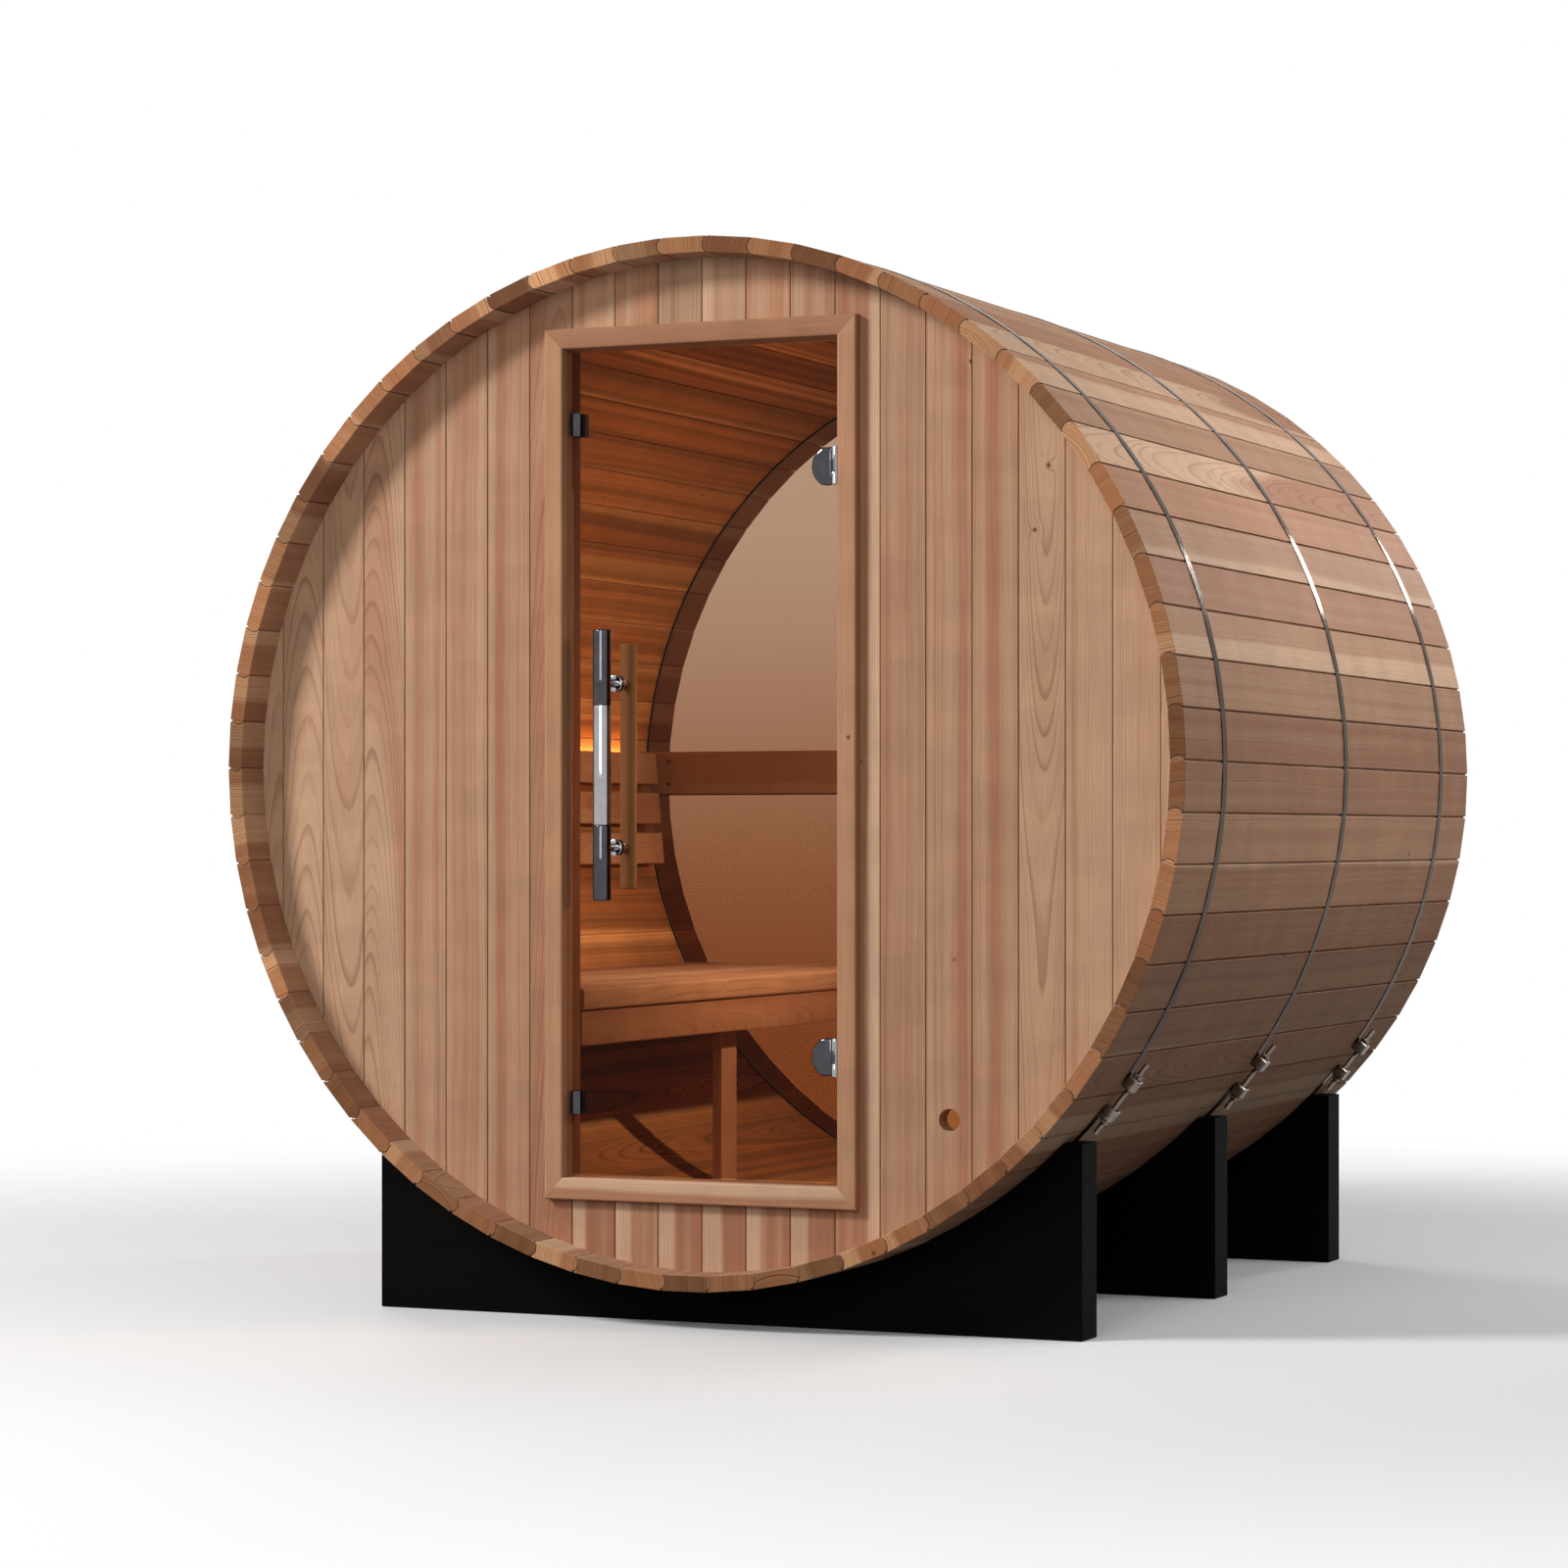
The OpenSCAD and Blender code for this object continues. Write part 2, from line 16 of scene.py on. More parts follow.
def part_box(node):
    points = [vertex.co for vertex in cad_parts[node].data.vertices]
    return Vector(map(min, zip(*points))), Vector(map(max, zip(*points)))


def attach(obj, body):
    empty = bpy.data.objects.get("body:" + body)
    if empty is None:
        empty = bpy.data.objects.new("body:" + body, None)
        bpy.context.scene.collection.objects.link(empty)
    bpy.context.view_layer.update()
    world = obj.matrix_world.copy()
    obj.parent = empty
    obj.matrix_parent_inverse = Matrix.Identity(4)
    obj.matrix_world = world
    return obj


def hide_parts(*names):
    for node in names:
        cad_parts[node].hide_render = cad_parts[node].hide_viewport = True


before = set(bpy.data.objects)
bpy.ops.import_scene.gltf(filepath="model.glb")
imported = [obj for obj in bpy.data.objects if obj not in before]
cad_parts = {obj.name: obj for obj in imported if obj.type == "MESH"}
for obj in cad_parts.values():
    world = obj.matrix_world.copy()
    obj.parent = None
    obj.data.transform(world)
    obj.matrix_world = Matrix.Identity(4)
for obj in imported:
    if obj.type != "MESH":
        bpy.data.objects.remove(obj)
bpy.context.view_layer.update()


def low(node):
    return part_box(node)[0]


def high(node):
    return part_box(node)[1]


# Planes and radii, taken from the solids
FRONT_Y = low("staves_top").y
REAR_Y = high("staves_top").y
AXIS_Z = (low("staves_bottom").z + high("staves_top").z) / 2
OUTER_FLAT = (high("staves_top").z - low("staves_bottom").z) / 2
WALL_FRONT = low("front_wall_left").y
WALL_BACK = high("front_wall_left").y
END_R = -low("front_wall_left").x
ROUGH_HALF = low("front_wall_right").x
ROUGH_TOP = low("front_wall_above_door").z - AXIS_Z
ROUGH_BOTTOM = high("front_wall_below_door").z - AXIS_Z
DOOR_FRONT = low("door_glass").y
DOOR_BACK = high("door_glass").y
REAR_GLASS = low("rear_glass_upper").y
REAR_GLASS_BACK = high("rear_glass_upper").y
OPEN_HALF = low("casing_right").x
BENCH_Y = low("bench_fascia").y
BENCH_END = high("bench_fascia").y

# Staves
SEGMENTS = ("top", "upper_right", "lower_right", "bottom", "lower_left", "upper_left")
SEGMENT_STAVES = 11
PITCH = 2 * math.pi / (len(SEGMENTS) * SEGMENT_STAVES)
STAVE_T = 0.028
INNER_FLAT = OUTER_FLAT - STAVE_T
BEAD_R = 0.016
BEAD_BACK = 0.009
JOINT_GAP = 0.0014
JOINT_DEPTH = 0.004
SHOULDER = 0.0010
STAVE_EASE = 0.0010
RIM_EASE = 0.0008
CROZE_DEPTH = 0.010
STAVE_FIGURED = 0.06
STAVE_SAP = (-0.02, 0.12)

# Boards of the front wall, with a joint on the middle line
BOARD_W = 0.08453
GROOVE_HALF = 0.0009
GROOVE_DEPTH = 0.0035
BOARD_EASE = 0.0008
RIM_REACH = 0.9995
VENT_R = 0.019
VENT_X = 0.465836
VENT_Z = 0.375713 - AXIS_Z

# Small edges, and the angle under which neighbouring faces are shaded as one
FINE_EASE = 0.001
EDGE_EASE = 0.0012
CRADLE_EASE = 0.002
CASING_EASE = 0.004
SEAT_EASE = 0.005
SMOOTH_ANGLE = math.radians(32)
ARC_STEPS = 10

# Turns from a piece's own across, along and through to the barrel's axes
UPRIGHT = Matrix(((1, 0, 0, 0), (0, 0, 1, 0), (0, 1, 0, 0), (0, 0, 0, 1)))
CROSSWISE = Matrix(((0, 1, 0, 0), (0, 0, 1, 0), (1, 0, 0, 0), (0, 0, 0, 1)))

rng = random.Random(26)


def moved(x, y, z):
    return Matrix.Translation((x, y, z))


# Outlines: lists of points, counterclockwise
def arc(centre, radius, start, end, steps=ARC_STEPS):
    """Points on an arc from one angle to another."""
    angles = [start + (end - start) * i / steps for i in range(steps + 1)]
    return [(centre[0] + radius * math.cos(a), centre[1] + radius * math.sin(a)) for a in angles]


def circle(radius, steps=32):
    return arc((0, 0), radius, 0, 2 * math.pi, steps)[:-1]


def rectangle(left, bottom, right, top, ease=0.0, steps=3):
    """A rectangle whose corners are rounded by ease."""
    if not ease:
        return [(left, bottom), (right, bottom), (right, top), (left, top)]
    corners = [(right - ease, bottom + ease), (right - ease, top - ease),
               (left + ease, top - ease), (left + ease, bottom + ease)]
    outline = []
    for quarter, centre in enumerate(corners):
        start = (quarter - 1) * math.pi / 2
        outline += arc(centre, ease, start, start + math.pi / 2, steps)
    return outline


def inset(outline, depth):
    """The outline drawn inwards by depth; a clockwise one, which is a hole, grows."""
    drawn = []
    for i, point in enumerate(outline):
        here = Vector(point)
        before = (here - Vector(outline[i - 1])).normalized()
        after = (Vector(outline[(i + 1) % len(outline)]) - here).normalized()
        normal = Vector((-before.y - after.y, before.x + after.x)).normalized()
        mitre = max(0.4, normal.dot(Vector((-before.y, before.x))))
        drawn.append(tuple(here + normal * depth / mitre))
    return drawn


# Stations: outlines and where each lies along a piece
def eased_ends(section, start, end, ease):
    """A straight piece whose two ends are eased."""
    small = inset(section, ease)
    return [(small, start), (section, start + ease), (section, end - ease), (small, end)]


def grooved_faces(outline, front, back):
    """A board whose edges stand back at its front, so that joints show as fine grooves."""
    return [
        (inset(outline, GROOVE_HALF + BOARD_EASE), front),
        (inset(outline, GROOVE_HALF), front + BOARD_EASE),
        (inset(outline, GROOVE_HALF), front + GROOVE_DEPTH),
        (outline, front + GROOVE_DEPTH + GROOVE_HALF),
        (outline, back - BOARD_EASE),
        (inset(outline, BOARD_EASE), back),
    ]


def mitred_ends(section, start, end):
    """A straight piece cut slanting at both ends; start and end depend on the place across."""
    hair = 0.0004
    return [(section, start), (section, lambda a: start(a) + hair),
            (section, lambda a: end(a) - hair), (section, end)]


def round_bar(radius, start, end, ease, steps=4):
    """A turned bar whose ends are rounded by ease."""
    turns = [i / steps * math.pi / 2 for i in range(steps + 1)]
    near = [(circle(radius - ease + ease * math.sin(t)), start + ease - ease * math.cos(t))
            for t in turns]
    far = [(outline, start + end - place) for outline, place in reversed(near)]
    return near + far


def threaded_rod(radius, start, end, pitch=0.0015, depth=0.0005, steps=16):
    """A rod with fine ridges round it."""
    count = 2 * round((end - start) / pitch)
    crest, root = circle(radius, steps), circle(radius - depth, steps)
    return [(crest if i % 2 else root, start + (end - start) * i / count) for i in range(count + 1)]


# Logs: the pith lies under the face of a flat-sawn board, or beside a straight-grained one.
# Lean and skew are how far the pith strays from the board per metre of length.
FLAT_ASIDE = 0.03
FLAT_DEPTH = (0.05, 0.10)
FLAT_SKEW = 0.006
FLAT_LEAN = (0.030, 0.055)
STRAIGHT_ASIDE = (0.16, 0.40)
STRAIGHT_DEPTH = 0.06
STRAIGHT_SKEW = 0.004
STRAIGHT_LEAN = 0.008
LOG_START = (0, 60)
LOG_SAP = (-0.01, 0.20)


def stray(limit):
    return rng.uniform(-limit, limit)


class Log:
    """Where a board was sawn from its tree, with a tone and hue of its own.

    Sap is how far from the board's middle the pale sapwood begins, away from the pith.
    """

    def __init__(self, flat_sawn, tone=None, hue=None, sap=None, turn=None):
        turn = turn or rng.choice((-1, 1))
        if flat_sawn:
            self.pith = (stray(FLAT_ASIDE), turn * rng.uniform(*FLAT_DEPTH))
            self.lean = (stray(FLAT_SKEW), rng.uniform(*FLAT_LEAN) * rng.choice((-1, 1)))
        else:
            self.pith = (turn * rng.uniform(*STRAIGHT_ASIDE), stray(STRAIGHT_DEPTH))
            self.lean = (stray(STRAIGHT_SKEW), stray(STRAIGHT_LEAN))
        self.start = rng.uniform(*LOG_START)
        self.tone = rng.random() if tone is None else tone
        self.hue = rng.random() if hue is None else hue
        self.sap = math.hypot(*self.pith) + (rng.uniform(*LOG_SAP) if sap is None else sap)

    def place(self, across, along, through):
        """Coordinates about the pith of the log."""
        return (across - self.pith[0] - self.lean[0] * along,
                along + self.start,
                through - self.pith[1] - self.lean[1] * along)


class Shape:
    """One mesh of several closed bodies; boards also keep each point's place in their log."""

    def __init__(self):
        self.points = []
        self.faces = []
        self.grain = []
        self.board = []
        self.end = []

    def loop(self, outline, position, placing, log, swept, end):
        """One ring of points, given across and through, or across and along."""
        first = len(self.points)
        for p, q in outline:
            reach = position(p) if callable(position) else position
            local = (p, reach, q) if swept else (p, q, reach)
            self.points.append(placing @ Vector(local))
            if log:
                self.grain.append(log.place(*local))
                self.board.append((log.tone, log.hue, log.sap))
                self.end.append(end)
        return list(range(first, len(self.points)))

    def add(self, stations, placing, log=None, swept=True, holes=()):
        """A closed body through stations.

        A swept body's outlines lie across its length, another's lie along its face.
        Each entry of holes has a hole's own stations.
        """
        caps = []
        for contour in (stations, *holes):
            last = len(contour) - 1
            loops = [
                self.loop(outline, position, placing, log, swept, float(swept and i in (0, last)))
                for i, (outline, position) in enumerate(contour)
            ]
            for near, far in zip(loops, loops[1:]):
                for i in range(len(near)):
                    self.faces.append((near[i - 1], near[i], far[i], far[i - 1]))
            caps.append((loops[0], loops[-1], contour[0][0], contour[-1][0]))
        for side in (0, 1):
            indices = [index for cap in caps for index in cap[side]]
            flat = [[Vector((*point, 0)) for point in cap[side + 2]] for cap in caps]
            for triangle in tessellate_polygon(flat):
                self.faces.append(tuple(indices[corner] for corner in triangle))

    def add_box(self, low_corner, high_corner, along, log=None, ease=EDGE_EASE, placing=None):
        """A straight piece between two corners, with its length along one axis."""
        size = [h - l for l, h in zip(low_corner, high_corner)]
        middle = [(l + h) / 2 for l, h in zip(low_corner, high_corner)]
        others = [axis for axis in (0, 1, 2) if axis != along]
        through, across = sorted(others, key=lambda axis: size[axis])
        turn = Matrix.Identity(4)
        turn.col[0] = Vector([float(axis == across) for axis in range(4)])
        turn.col[1] = Vector([float(axis == along) for axis in range(4)])
        turn.col[2] = Vector([float(axis == through) for axis in range(4)])
        half_a, half_l, half_t = (size[axis] / 2 for axis in (across, along, through))
        section = rectangle(-half_a, -half_t, half_a, half_t, ease)
        placing = (placing or Matrix.Identity(4)) @ Matrix.Translation(middle) @ turn
        self.add(eased_ends(section, -half_l, half_l, ease), placing, log)

    def add_arc(self, section, start, end, steps=120):
        """A section, given as radius and y, carried round the barrel's axis."""
        loops = []
        for i in range(steps + 1):
            angle = start + (end - start) * i / steps
            loops.append(range(len(self.points), len(self.points) + len(section)))
            self.points += [(r * math.sin(angle), y, AXIS_Z + r * math.cos(angle))
                            for r, y in section]
        for near, far in zip(loops, loops[1:]):
            for i in range(len(section)):
                self.faces.append((near[i - 1], near[i], far[i], far[i - 1]))
        self.faces += [tuple(loops[0]), tuple(loops[-1])]


def make_piece(name, shape, material, replaces=(), body="sauna"):
    """A mesh object that rides on a body and may stand for solids."""
    mesh = bpy.data.meshes.new(name)
    mesh.from_pydata(shape.points, [], shape.faces)
    if shape.grain:
        for key, values in (("grain", shape.grain), ("board", shape.board)):
            layer = mesh.attributes.new(key, "FLOAT_VECTOR", "POINT")
            layer.data.foreach_set("vector", [part for value in values for part in value])
        mesh.attributes.new("end", "FLOAT", "POINT").data.foreach_set("value", shape.end)
    surface = bmesh.new()
    surface.from_mesh(mesh)
    bmesh.ops.recalc_face_normals(surface, faces=surface.faces)
    surface.to_mesh(mesh)
    surface.free()
    mesh.shade_smooth()
    mesh.set_sharp_from_angle(angle=SMOOTH_ANGLE)
    mesh.materials.append(material)
    piece = bpy.data.objects.new(name, mesh)
    bpy.context.scene.collection.objects.link(piece)
    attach(piece, body)
    if replaces:
        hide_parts(*replaces)


# Materials
def srgb(red, green, blue):
    """The linear colour of an sRGB colour given in 0 to 255."""
    def linear(value):
        value /= 255
        return value / 12.92 if value <= 0.04045 else ((value + 0.055) / 1.055) ** 2.4
    return (linear(red), linear(green), linear(blue), 1.0)


class Tree:
    """The node tree of a material or world, with short calls to build it."""

    def __init__(self, owner):
        owner.use_nodes = True
        self.owner = owner
        self.nodes = owner.node_tree.nodes
        self.links = owner.node_tree.links
        self.nodes.clear()

    def add(self, kind, inputs=None, **settings):
        """A node with its settings, and its inputs as values or sockets."""
        made = self.nodes.new("ShaderNode" + kind)
        for key, value in settings.items():
            setattr(made, key, value)
        for key, value in (inputs or {}).items():
            if isinstance(value, bpy.types.NodeSocket):
                self.links.new(value, made.inputs[key])
            else:
                made.inputs[key].default_value = value
        return made

    def math(self, operation, *values):
        return self.add("Math", dict(enumerate(values)), operation=operation).outputs[0]

    def vector(self, operation, *values):
        made = self.add("VectorMath", dict(enumerate(values)), operation=operation)
        return made.outputs["Value" if operation == "LENGTH" else "Vector"]

    def scaled(self, vector, factor):
        made = self.add("VectorMath", {0: vector, "Scale": factor}, operation="SCALE")
        return made.outputs["Vector"]

    def noise(self, vector, stretch, detail=2.0):
        """Noise in space, finer along the axes with the larger stretch."""
        place = self.vector("MULTIPLY", vector, stretch)
        return self.add("TexNoise", {"Vector": place, "Scale": 1.0, "Detail": detail})

    def line_noise(self, place, detail=1.0):
        """Noise along a single number."""
        inputs = {"W": place, "Scale": 1.0, "Detail": detail}
        return self.add("TexNoise", inputs, noise_dimensions="1D").outputs["Fac"]

    def range(self, value, from_low, from_high, to_low=0.0, to_high=1.0):
        """A smooth step from one pair of values to another."""
        inputs = {"Value": value, "From Min": from_low, "From Max": from_high,
                  "To Min": to_low, "To Max": to_high}
        return self.add("MapRange", inputs, interpolation_type="SMOOTHSTEP").outputs["Result"]

    def mix(self, factor, first, second):
        """A colour between two."""
        made = self.add("Mix", {"Factor": factor}, data_type="RGBA")
        for socket, value in ((made.inputs[6], first), (made.inputs[7], second)):
            if isinstance(value, bpy.types.NodeSocket):
                self.links.new(value, socket)
            else:
                socket.default_value = value
        return made.outputs[2]

    def finish(self, shader, kind="OutputMaterial"):
        self.add(kind, {"Surface": shader.outputs[0]})
        return self.owner


def new_tree(name):
    return Tree(bpy.data.materials.new(name))


WHITE = (1.0, 1.0, 1.0, 1.0)
END_TINT = (0.69, 0.55, 0.41, 1.0)
KNOT = srgb(84, 48, 30)
CABIN_DEPTH = (0.0015, 0.0025)


def cabin_side(tree):
    """One on what faces the cabin between the two end walls; else zero."""
    place = tree.add("TexCoord").outputs["Object"]
    across, along, height = tree.add("SeparateXYZ", {0: place}).outputs
    height = tree.math("SUBTRACT", height, AXIS_Z)
    square = tree.math("MULTIPLY", height, height)
    radius = tree.math("SQRT", tree.math("MULTIPLY_ADD", across, across, square))
    inner = tree.range(radius, INNER_FLAT + CABIN_DEPTH[0], INNER_FLAT + CABIN_DEPTH[1], 1.0, 0.0)
    within = tree.math("MULTIPLY", tree.math("GREATER_THAN", along, WALL_BACK),
                       tree.math("LESS_THAN", along, REAR_GLASS))
    return tree.math("MULTIPLY", inner, within)


def cedar(name, tan, rose, pale, line, ring_w=0.0046, contrast=0.5, painted_bounce_tint=None):
    """Cedar whose rings, streaks and sapwood lie about the pith of each board's log.

    The tint for the cabin side is painted warm light, standing in for the light that bounces round
    the cabin; there the grain also stands out more.
    """
    tree = new_tree(name)
    grain = tree.add("Attribute", attribute_name="grain").outputs["Vector"]
    board = tree.add("Attribute", attribute_name="board").outputs["Vector"]
    end = tree.add("Attribute", attribute_name="end").outputs["Fac"]
    tone, hue, sap = tree.add("SeparateXYZ", {0: board}).outputs
    seed = tree.math("MULTIPLY", hue, 173.0)

    # Small knots, which push the rings aside
    knot_scale = 7.0
    knot = tree.add("TexVoronoi", {"Vector": grain, "Scale": knot_scale}).outputs["Distance"]
    knot = tree.math("DIVIDE", knot, knot_scale)
    swell = tree.range(knot, 0.0, 0.022, 0.004, 0.0)
    knot = tree.range(knot, 0.0025, 0.006, 1.0, 0.0)

    # Growth rings, uneven in width, with late wood of uneven weight
    sway = tree.noise(grain, (5.0, 1.3, 5.0)).outputs["Color"]
    sway = tree.vector("SUBTRACT", sway, (0.5, 0.5, 0.5))
    sway = tree.vector("MULTIPLY", sway, (0.02, 0.0, 0.02))
    flat = tree.vector("MULTIPLY", tree.vector("ADD", grain, sway), (1.0, 0.0, 1.0))
    radius = tree.math("ADD", tree.vector("LENGTH", flat), swell)
    uneven = tree.line_noise(tree.math("MULTIPLY_ADD", radius, 45.0, seed))
    rings = tree.math("MULTIPLY_ADD", uneven, 0.012, radius)
    rings = tree.math("DIVIDE", rings, ring_w)
    ring = tree.math("FRACT", rings)
    number = tree.math("ADD", tree.math("FLOOR", rings), seed)
    weight = tree.add("TexWhiteNoise", {"W": number}, noise_dimensions="1D").outputs["Value"]
    late = tree.range(ring, 0.58, 0.93)
    late = tree.math("MULTIPLY", late, tree.range(ring, 0.93, 1.0, 1.0, 0.0))
    late = tree.math("MULTIPLY", late, tree.range(weight, 0.0, 1.0, 0.25, 1.0))

    # Rosy streaks, fibres, figure and pale sapwood
    streak = tree.line_noise(tree.math("MULTIPLY_ADD", radius, 34.0, seed), 2.0)
    cloud = tree.noise(grain, (14.0, 1.6, 14.0), 3.0).outputs["Fac"]
    redness = tree.math("MULTIPLY_ADD", cloud, 0.5, streak)
    redness = tree.math("MULTIPLY_ADD", hue, 0.6, redness)
    redness = tree.range(redness, 0.70, 1.40)
    fibre = tree.noise(grain, (620.0, 9.0, 620.0), 3.0).outputs["Fac"]
    figure = tree.noise(grain, (5.0, 12.0, 5.0)).outputs["Fac"]
    edge = tree.math("MULTIPLY_ADD", cloud, 0.02, tree.math("SUBTRACT", radius, sap))
    sapwood = tree.range(edge, 0.004, 0.016)

    # Colour, with end grain darker and more marked
    colour = tree.mix(redness, tan, rose)
    colour = tree.mix(tree.math("MULTIPLY", sapwood, 0.8), colour, pale)
    depth = tree.range(end, 0.0, 1.0, contrast, min(1.0, 3 * contrast))
    if painted_bounce_tint:
        warm = cabin_side(tree)
        depth = tree.math("MULTIPLY_ADD", warm, 0.3, depth)
        patch = tree.range(streak, 0.35, 0.65, 0.72, 1.28)
        # Painted warm light: the faces towards the cabin are tinted warm, standing in for light
        # bouncing round the cabin
        tint = tree.mix(warm, WHITE, painted_bounce_tint)
        tint = tree.scaled(tint, tree.math("POWER", patch, warm))
        colour = tree.vector("MULTIPLY", colour, tint)
    colour = tree.mix(tree.math("MULTIPLY", late, depth), colour, line)
    colour = tree.mix(tree.math("MULTIPLY", knot, 0.8), colour, KNOT)
    colour = tree.vector("MULTIPLY", colour, tree.mix(end, WHITE, END_TINT))
    # Lightness of the board, which spreads wider on the end grain
    spread = tree.range(end, 0.0, 1.0, 0.28, 0.90)
    light = tree.math("MULTIPLY_ADD", tree.math("SUBTRACT", tone, 0.5), spread, 0.98)
    light = tree.math("MULTIPLY", light, tree.range(fibre, 0.25, 0.75, 0.91, 1.08))
    light = tree.math("MULTIPLY", light, tree.range(figure, 0.3, 0.7, 0.94, 1.05))
    colour = tree.scaled(colour, light)
    rough = tree.range(fibre, 0.2, 0.8, 0.58, 0.74)
    height = tree.math("MULTIPLY_ADD", late, -0.5, fibre)
    bump = tree.add("Bump", {"Strength": 0.2, "Distance": 0.0006, "Height": height})
    return tree.finish(tree.add("BsdfPrincipled", {
        "Base Color": colour, "Roughness": rough, "Normal": bump.outputs[0],
        "Specular IOR Level": 0.06}))


def plain_timber(name, dark, light, stretch):
    """Timber on kept solids, with its grain along the axis of the smallest stretch."""
    tree = new_tree(name)
    place = tree.add("TexCoord").outputs["Object"]
    fibre = tree.noise(place, stretch, 4.0).outputs["Fac"]
    cloud = tree.noise(place, [part / 18 for part in stretch], 3.0).outputs["Fac"]
    shade = tree.math("MULTIPLY", fibre, cloud)
    colour = tree.mix(tree.range(shade, 0.12, 0.42), dark, light)
    rough = tree.range(fibre, 0.3, 0.7, 0.55, 0.75)
    bump = tree.add("Bump", {"Strength": 0.4, "Distance": 0.0012, "Height": fibre})
    return tree.finish(tree.add("BsdfPrincipled", {
        "Base Color": colour, "Roughness": rough, "Normal": bump.outputs[0],
        "Specular IOR Level": 0.03}))


def metal(name, dark, light, edge, rough_low, rough_high, stretch, bump_depth):
    """Metal whose finish varies a little in streaks; edge is its tint at a glancing view."""
    tree = new_tree(name)
    place = tree.add("TexCoord").outputs["Object"]
    streaks = tree.noise(place, stretch, 3.0).outputs["Fac"]
    bump = tree.add("Bump", {"Strength": 0.15, "Distance": bump_depth, "Height": streaks})
    rough = tree.range(streaks, 0.25, 0.75, rough_low, rough_high)
    colour = tree.mix(streaks, dark, light)
    return tree.finish(tree.add("BsdfPrincipled", {
        "Base Color": colour, "Metallic": 1.0, "Roughness": rough, "Normal": bump.outputs[0],
        "Specular Tint": edge}))


def plastic(name, dark, light, rough):
    """Moulded plastic or rubber with a fine texture."""
    tree = new_tree(name)
    place = tree.add("TexCoord").outputs["Object"]
    speck = tree.noise(place, (900.0, 900.0, 900.0), 3.0).outputs["Fac"]
    bump = tree.add("Bump", {"Strength": 0.1, "Distance": 0.0003, "Height": speck})
    shade = tree.range(speck, 0.3, 0.7, rough - 0.05, rough + 0.05)
    return tree.finish(tree.add("BsdfPrincipled", {
        "Base Color": tree.mix(speck, dark, light), "Roughness": shade, "Normal": bump.outputs[0]}))


def tinted_glass(name, tint, head_tint=None):
    """A pane that dims what is seen through each of its two faces, with a clear gloss.

    A head tint makes the pane lighter towards the top of the barrel and darker towards its foot:
    painted light and shade, standing in for the brighter and darker surroundings seen through the
    pane.
    """
    tree = new_tree(name)
    place = tree.add("TexCoord").outputs["Object"]
    film = tree.noise(place, (3.0, 3.0, 3.0)).outputs["Fac"]
    # Painted light and shade: the tint runs from the foot's to the head's over the barrel's height
    if head_tint:
        height = tree.add("SeparateXYZ", {0: place}).outputs[2]
        tint = tree.mix(tree.range(height, AXIS_Z - FADE_HALF, AXIS_Z + FADE_HALF), tint, head_tint)
    through = tree.add("BsdfTransparent", {"Color": tint})
    rough = tree.range(film, 0.2, 0.8, 0.004, 0.03)
    gloss = tree.add("BsdfGlossy", {"Color": WHITE, "Roughness": rough})
    fresnel = tree.add("Fresnel", {"IOR": 1.45}).outputs[0]
    share = tree.math("MULTIPLY", fresnel, tree.range(film, 0.2, 0.8, 0.08, 0.12))
    mixed = tree.add("MixShader", {0: share, 1: through.outputs[0], 2: gloss.outputs[0]})
    return tree.finish(mixed)


CEDAR_PALE = srgb(204, 167, 138)
# Painted warm light for the cabin side of the staves
PAINTED_WARM_BOUNCE = (1.18, 0.98, 0.55, 1.0)
GLASS_TINT = (0.78, 0.66, 0.585, 1.0)
# Painted shade and light for the rear panes: darker at the foot, lighter at the head
PAINTED_SHADE_FOOT_TINT = (0.543, 0.309, 0.163, 1.0)
PAINTED_LIGHT_HEAD_TINT = (0.861, 0.805, 0.746, 1.0)
FADE_HALF = 0.70

stave_cedar = cedar("stave_cedar", srgb(186, 145, 116), srgb(169, 123, 96), srgb(214, 178, 148),
                    srgb(112, 74, 54), ring_w=0.0036, contrast=0.46, painted_bounce_tint=PAINTED_WARM_BOUNCE)
wall_cedar = cedar("wall_cedar", srgb(184, 147, 118), srgb(162, 111, 84), CEDAR_PALE,
                   srgb(122, 78, 54), ring_w=0.0034, contrast=0.55)
casing_cedar = cedar("casing_cedar", srgb(178, 134, 103), srgb(166, 117, 88), CEDAR_PALE,
                     srgb(126, 84, 60), ring_w=0.0038, contrast=0.36)
inner_cedar = cedar("inner_cedar", srgb(198, 156, 118), srgb(184, 136, 100), srgb(208, 170, 132),
                    srgb(128, 84, 54), ring_w=0.0038, contrast=0.4)
grip_wood = cedar("grip_wood", srgb(204, 184, 148), srgb(194, 172, 134), srgb(210, 192, 158),
                  srgb(150, 126, 92), contrast=0.3)
black_timber = plain_timber("black_timber", srgb(2, 2, 2), srgb(10, 8, 7), (6.0, 160.0, 160.0))
batten_cedar = plain_timber("batten_cedar", srgb(140, 94, 64), srgb(178, 128, 92),
                            (160.0, 160.0, 8.0))
hoop_steel = metal("hoop_steel", srgb(64, 53, 46), srgb(88, 75, 66), (0.58, 0.57, 0.56, 1.0),
                   0.10, 0.15, (40.0, 400.0, 40.0), 0.0004)
chrome = metal("chrome", srgb(150, 150, 153), srgb(178, 178, 181), WHITE, 0.03, 0.09,
               (60.0, 60.0, 60.0), 0.0001)
screw_steel = metal("screw_steel", srgb(116, 105, 96), srgb(148, 137, 128), WHITE, 0.16, 0.28,
                    (80.0, 80.0, 80.0), 0.0003)
polished_steel = metal("polished_steel", srgb(62, 62, 65), srgb(88, 88, 92), WHITE, 0.02, 0.06,
                       (60.0, 60.0, 60.0), 0.0001)
